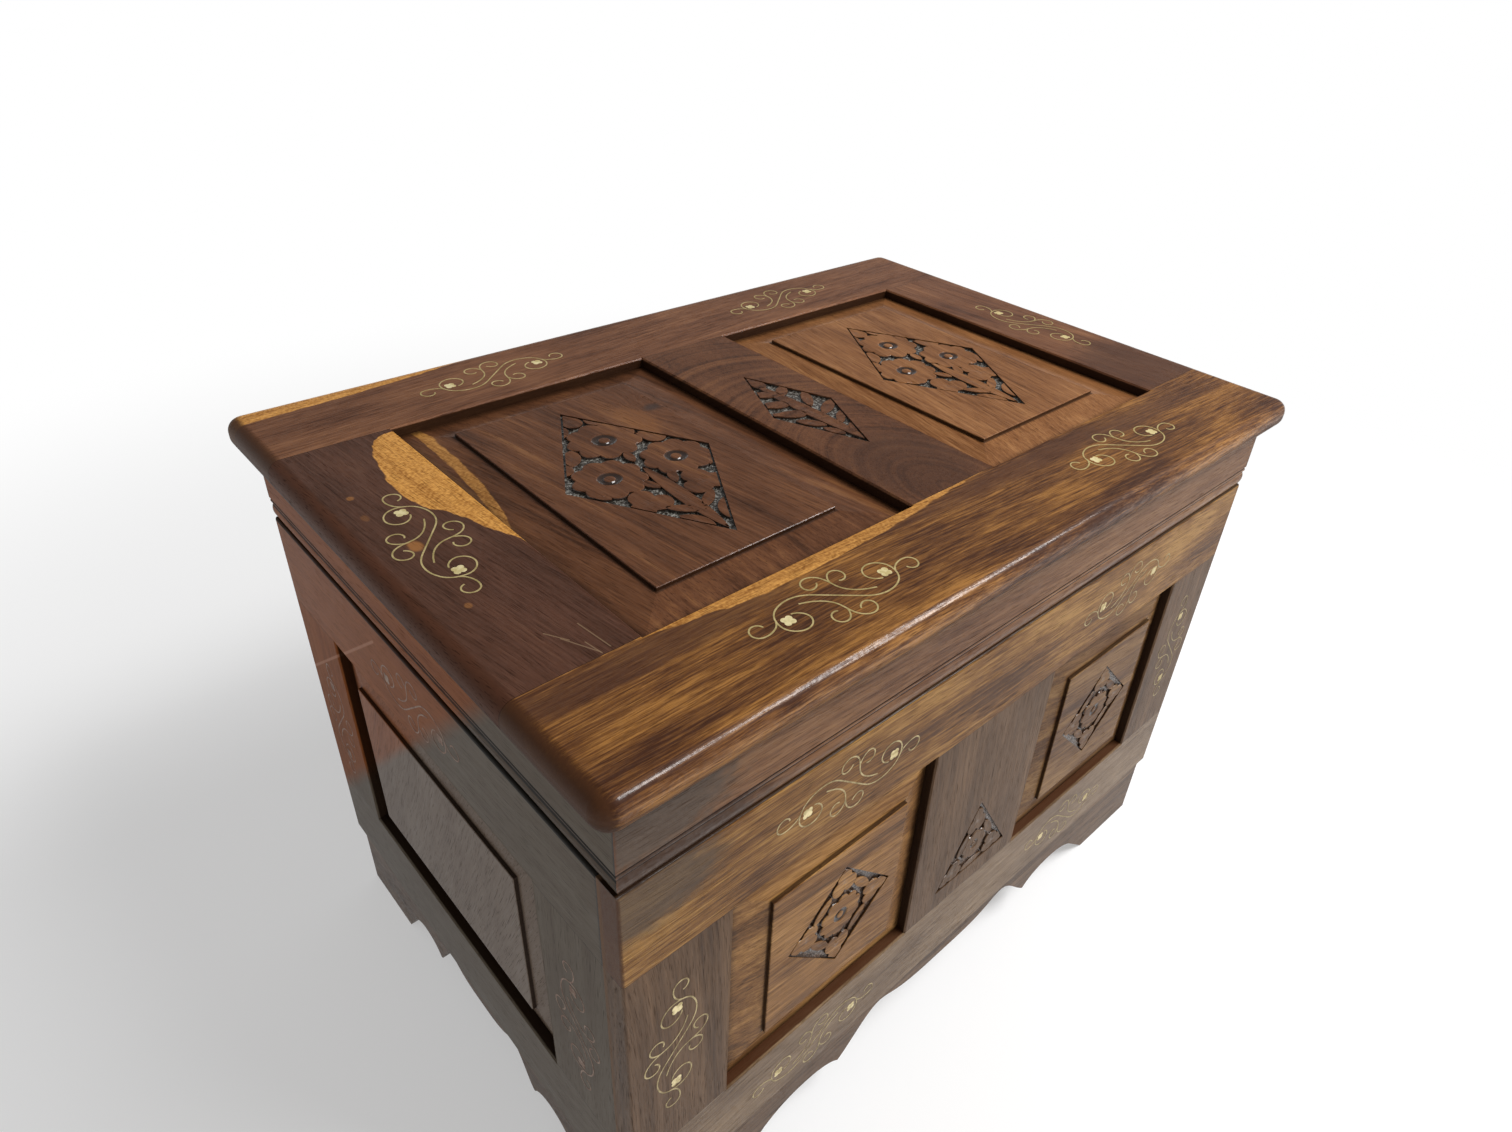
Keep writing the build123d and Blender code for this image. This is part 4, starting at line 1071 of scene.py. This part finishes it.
floor_mesh = bpy.data.meshes.new("floor")
shape = bmesh.new()
bmesh.ops.create_grid(shape, x_segments=1, y_segments=1, size=FLOOR_HALF)
shape.to_mesh(floor_mesh)
shape.free()
floor = bpy.data.objects.new("floor", floor_mesh)
bpy.context.scene.collection.objects.link(floor)
pale = Finish("floor", **{"Base Color": (0.93, 0.93, 0.93), "Roughness": 0.9, "Specular IOR Level": 0.0})
x, y, z = pale.position()
far = ((x * x + y * y) ** 0.5).between(*SHADOW_REACH) * (1 - SHADOW_GLOW) + SHADOW_GLOW
rays = pale.node("ShaderNodeLightPath", {}, {}, None)
seen = Shade(pale, rays.outputs["Is Camera Ray"]) + Shade(pale, rays.outputs["Is Glossy Ray"])
seen = seen + Shade(pale, rays.outputs["Is Transmission Ray"])
white = pale.node("ShaderNodeEmission", {}, {"Color": (1.0, 1.0, 1.0)})
both = pale.node("ShaderNodeMixShader", {}, [far * seen, pale.surface, white])
pale.tree.links.new(both.socket, pale.output.inputs["Surface"])
dress(floor, pale.material)
print("floor", tuple(round(size, 1) for size in floor.dimensions))

# %% [markdown]
# The room around the chest is white near the horizon and dimmer overhead, so that the lid, which mirrors
# the ceiling, keeps its deep colour. The direction that a ray looks in gives its height.

# %% The room
DIMMED = {"From Min": 0.02, "From Max": 0.35, "To Min": 1.0, "To Max": 0.28}

world = bpy.data.worlds.new("studio")
bpy.context.scene.world = world
world.use_nodes = True
room = world.node_tree
direction = room.nodes.new("ShaderNodeTexCoord")
height = room.nodes.new("ShaderNodeSeparateXYZ")
dimmer = room.nodes.new("ShaderNodeMapRange")
dimmer.interpolation_type = "SMOOTHSTEP"
for socket, value in DIMMED.items():
    dimmer.inputs[socket].default_value = value
room.links.new(direction.outputs["Generated"], height.inputs[0])
room.links.new(height.outputs["Z"], dimmer.inputs["Value"])
room.links.new(dimmer.outputs["Result"], room.nodes["Background"].inputs["Strength"])
room.nodes["Background"].inputs["Color"].default_value = (1, 1, 1, 1)
print("room lit")

# %% [markdown]
# One soft lamp stands high on the right, a little in front. It makes the shadow on the left and the bright
# line along the nose of the lid. A small one nearer the middle sets a second glint on the near corner.


# %% The lamps
def lamp(name, place, size, power):
    data = bpy.data.lights.new(name, "AREA")
    data.shape = "SQUARE"
    data.size = size
    data.energy = power
    light = bpy.data.objects.new(name, data)
    light.location = place
    light.rotation_euler = (LAMP_AIM - light.location).to_track_quat("-Z", "Y").to_euler()
    bpy.context.scene.collection.objects.link(light)
    return light


LAMP_AIM = Vector((0, 0, 0.3))
key = lamp("key", (1.7, -1.3, 2.6), 1.2, 83)
window = lamp("window", (0.70, -1.73, 2.87), 0.7, 30)
bpy.context.scene.view_settings.view_transform = "Standard"
print(key.name, round(key.data.energy), "W,", window.name, round(window.data.energy), "W")
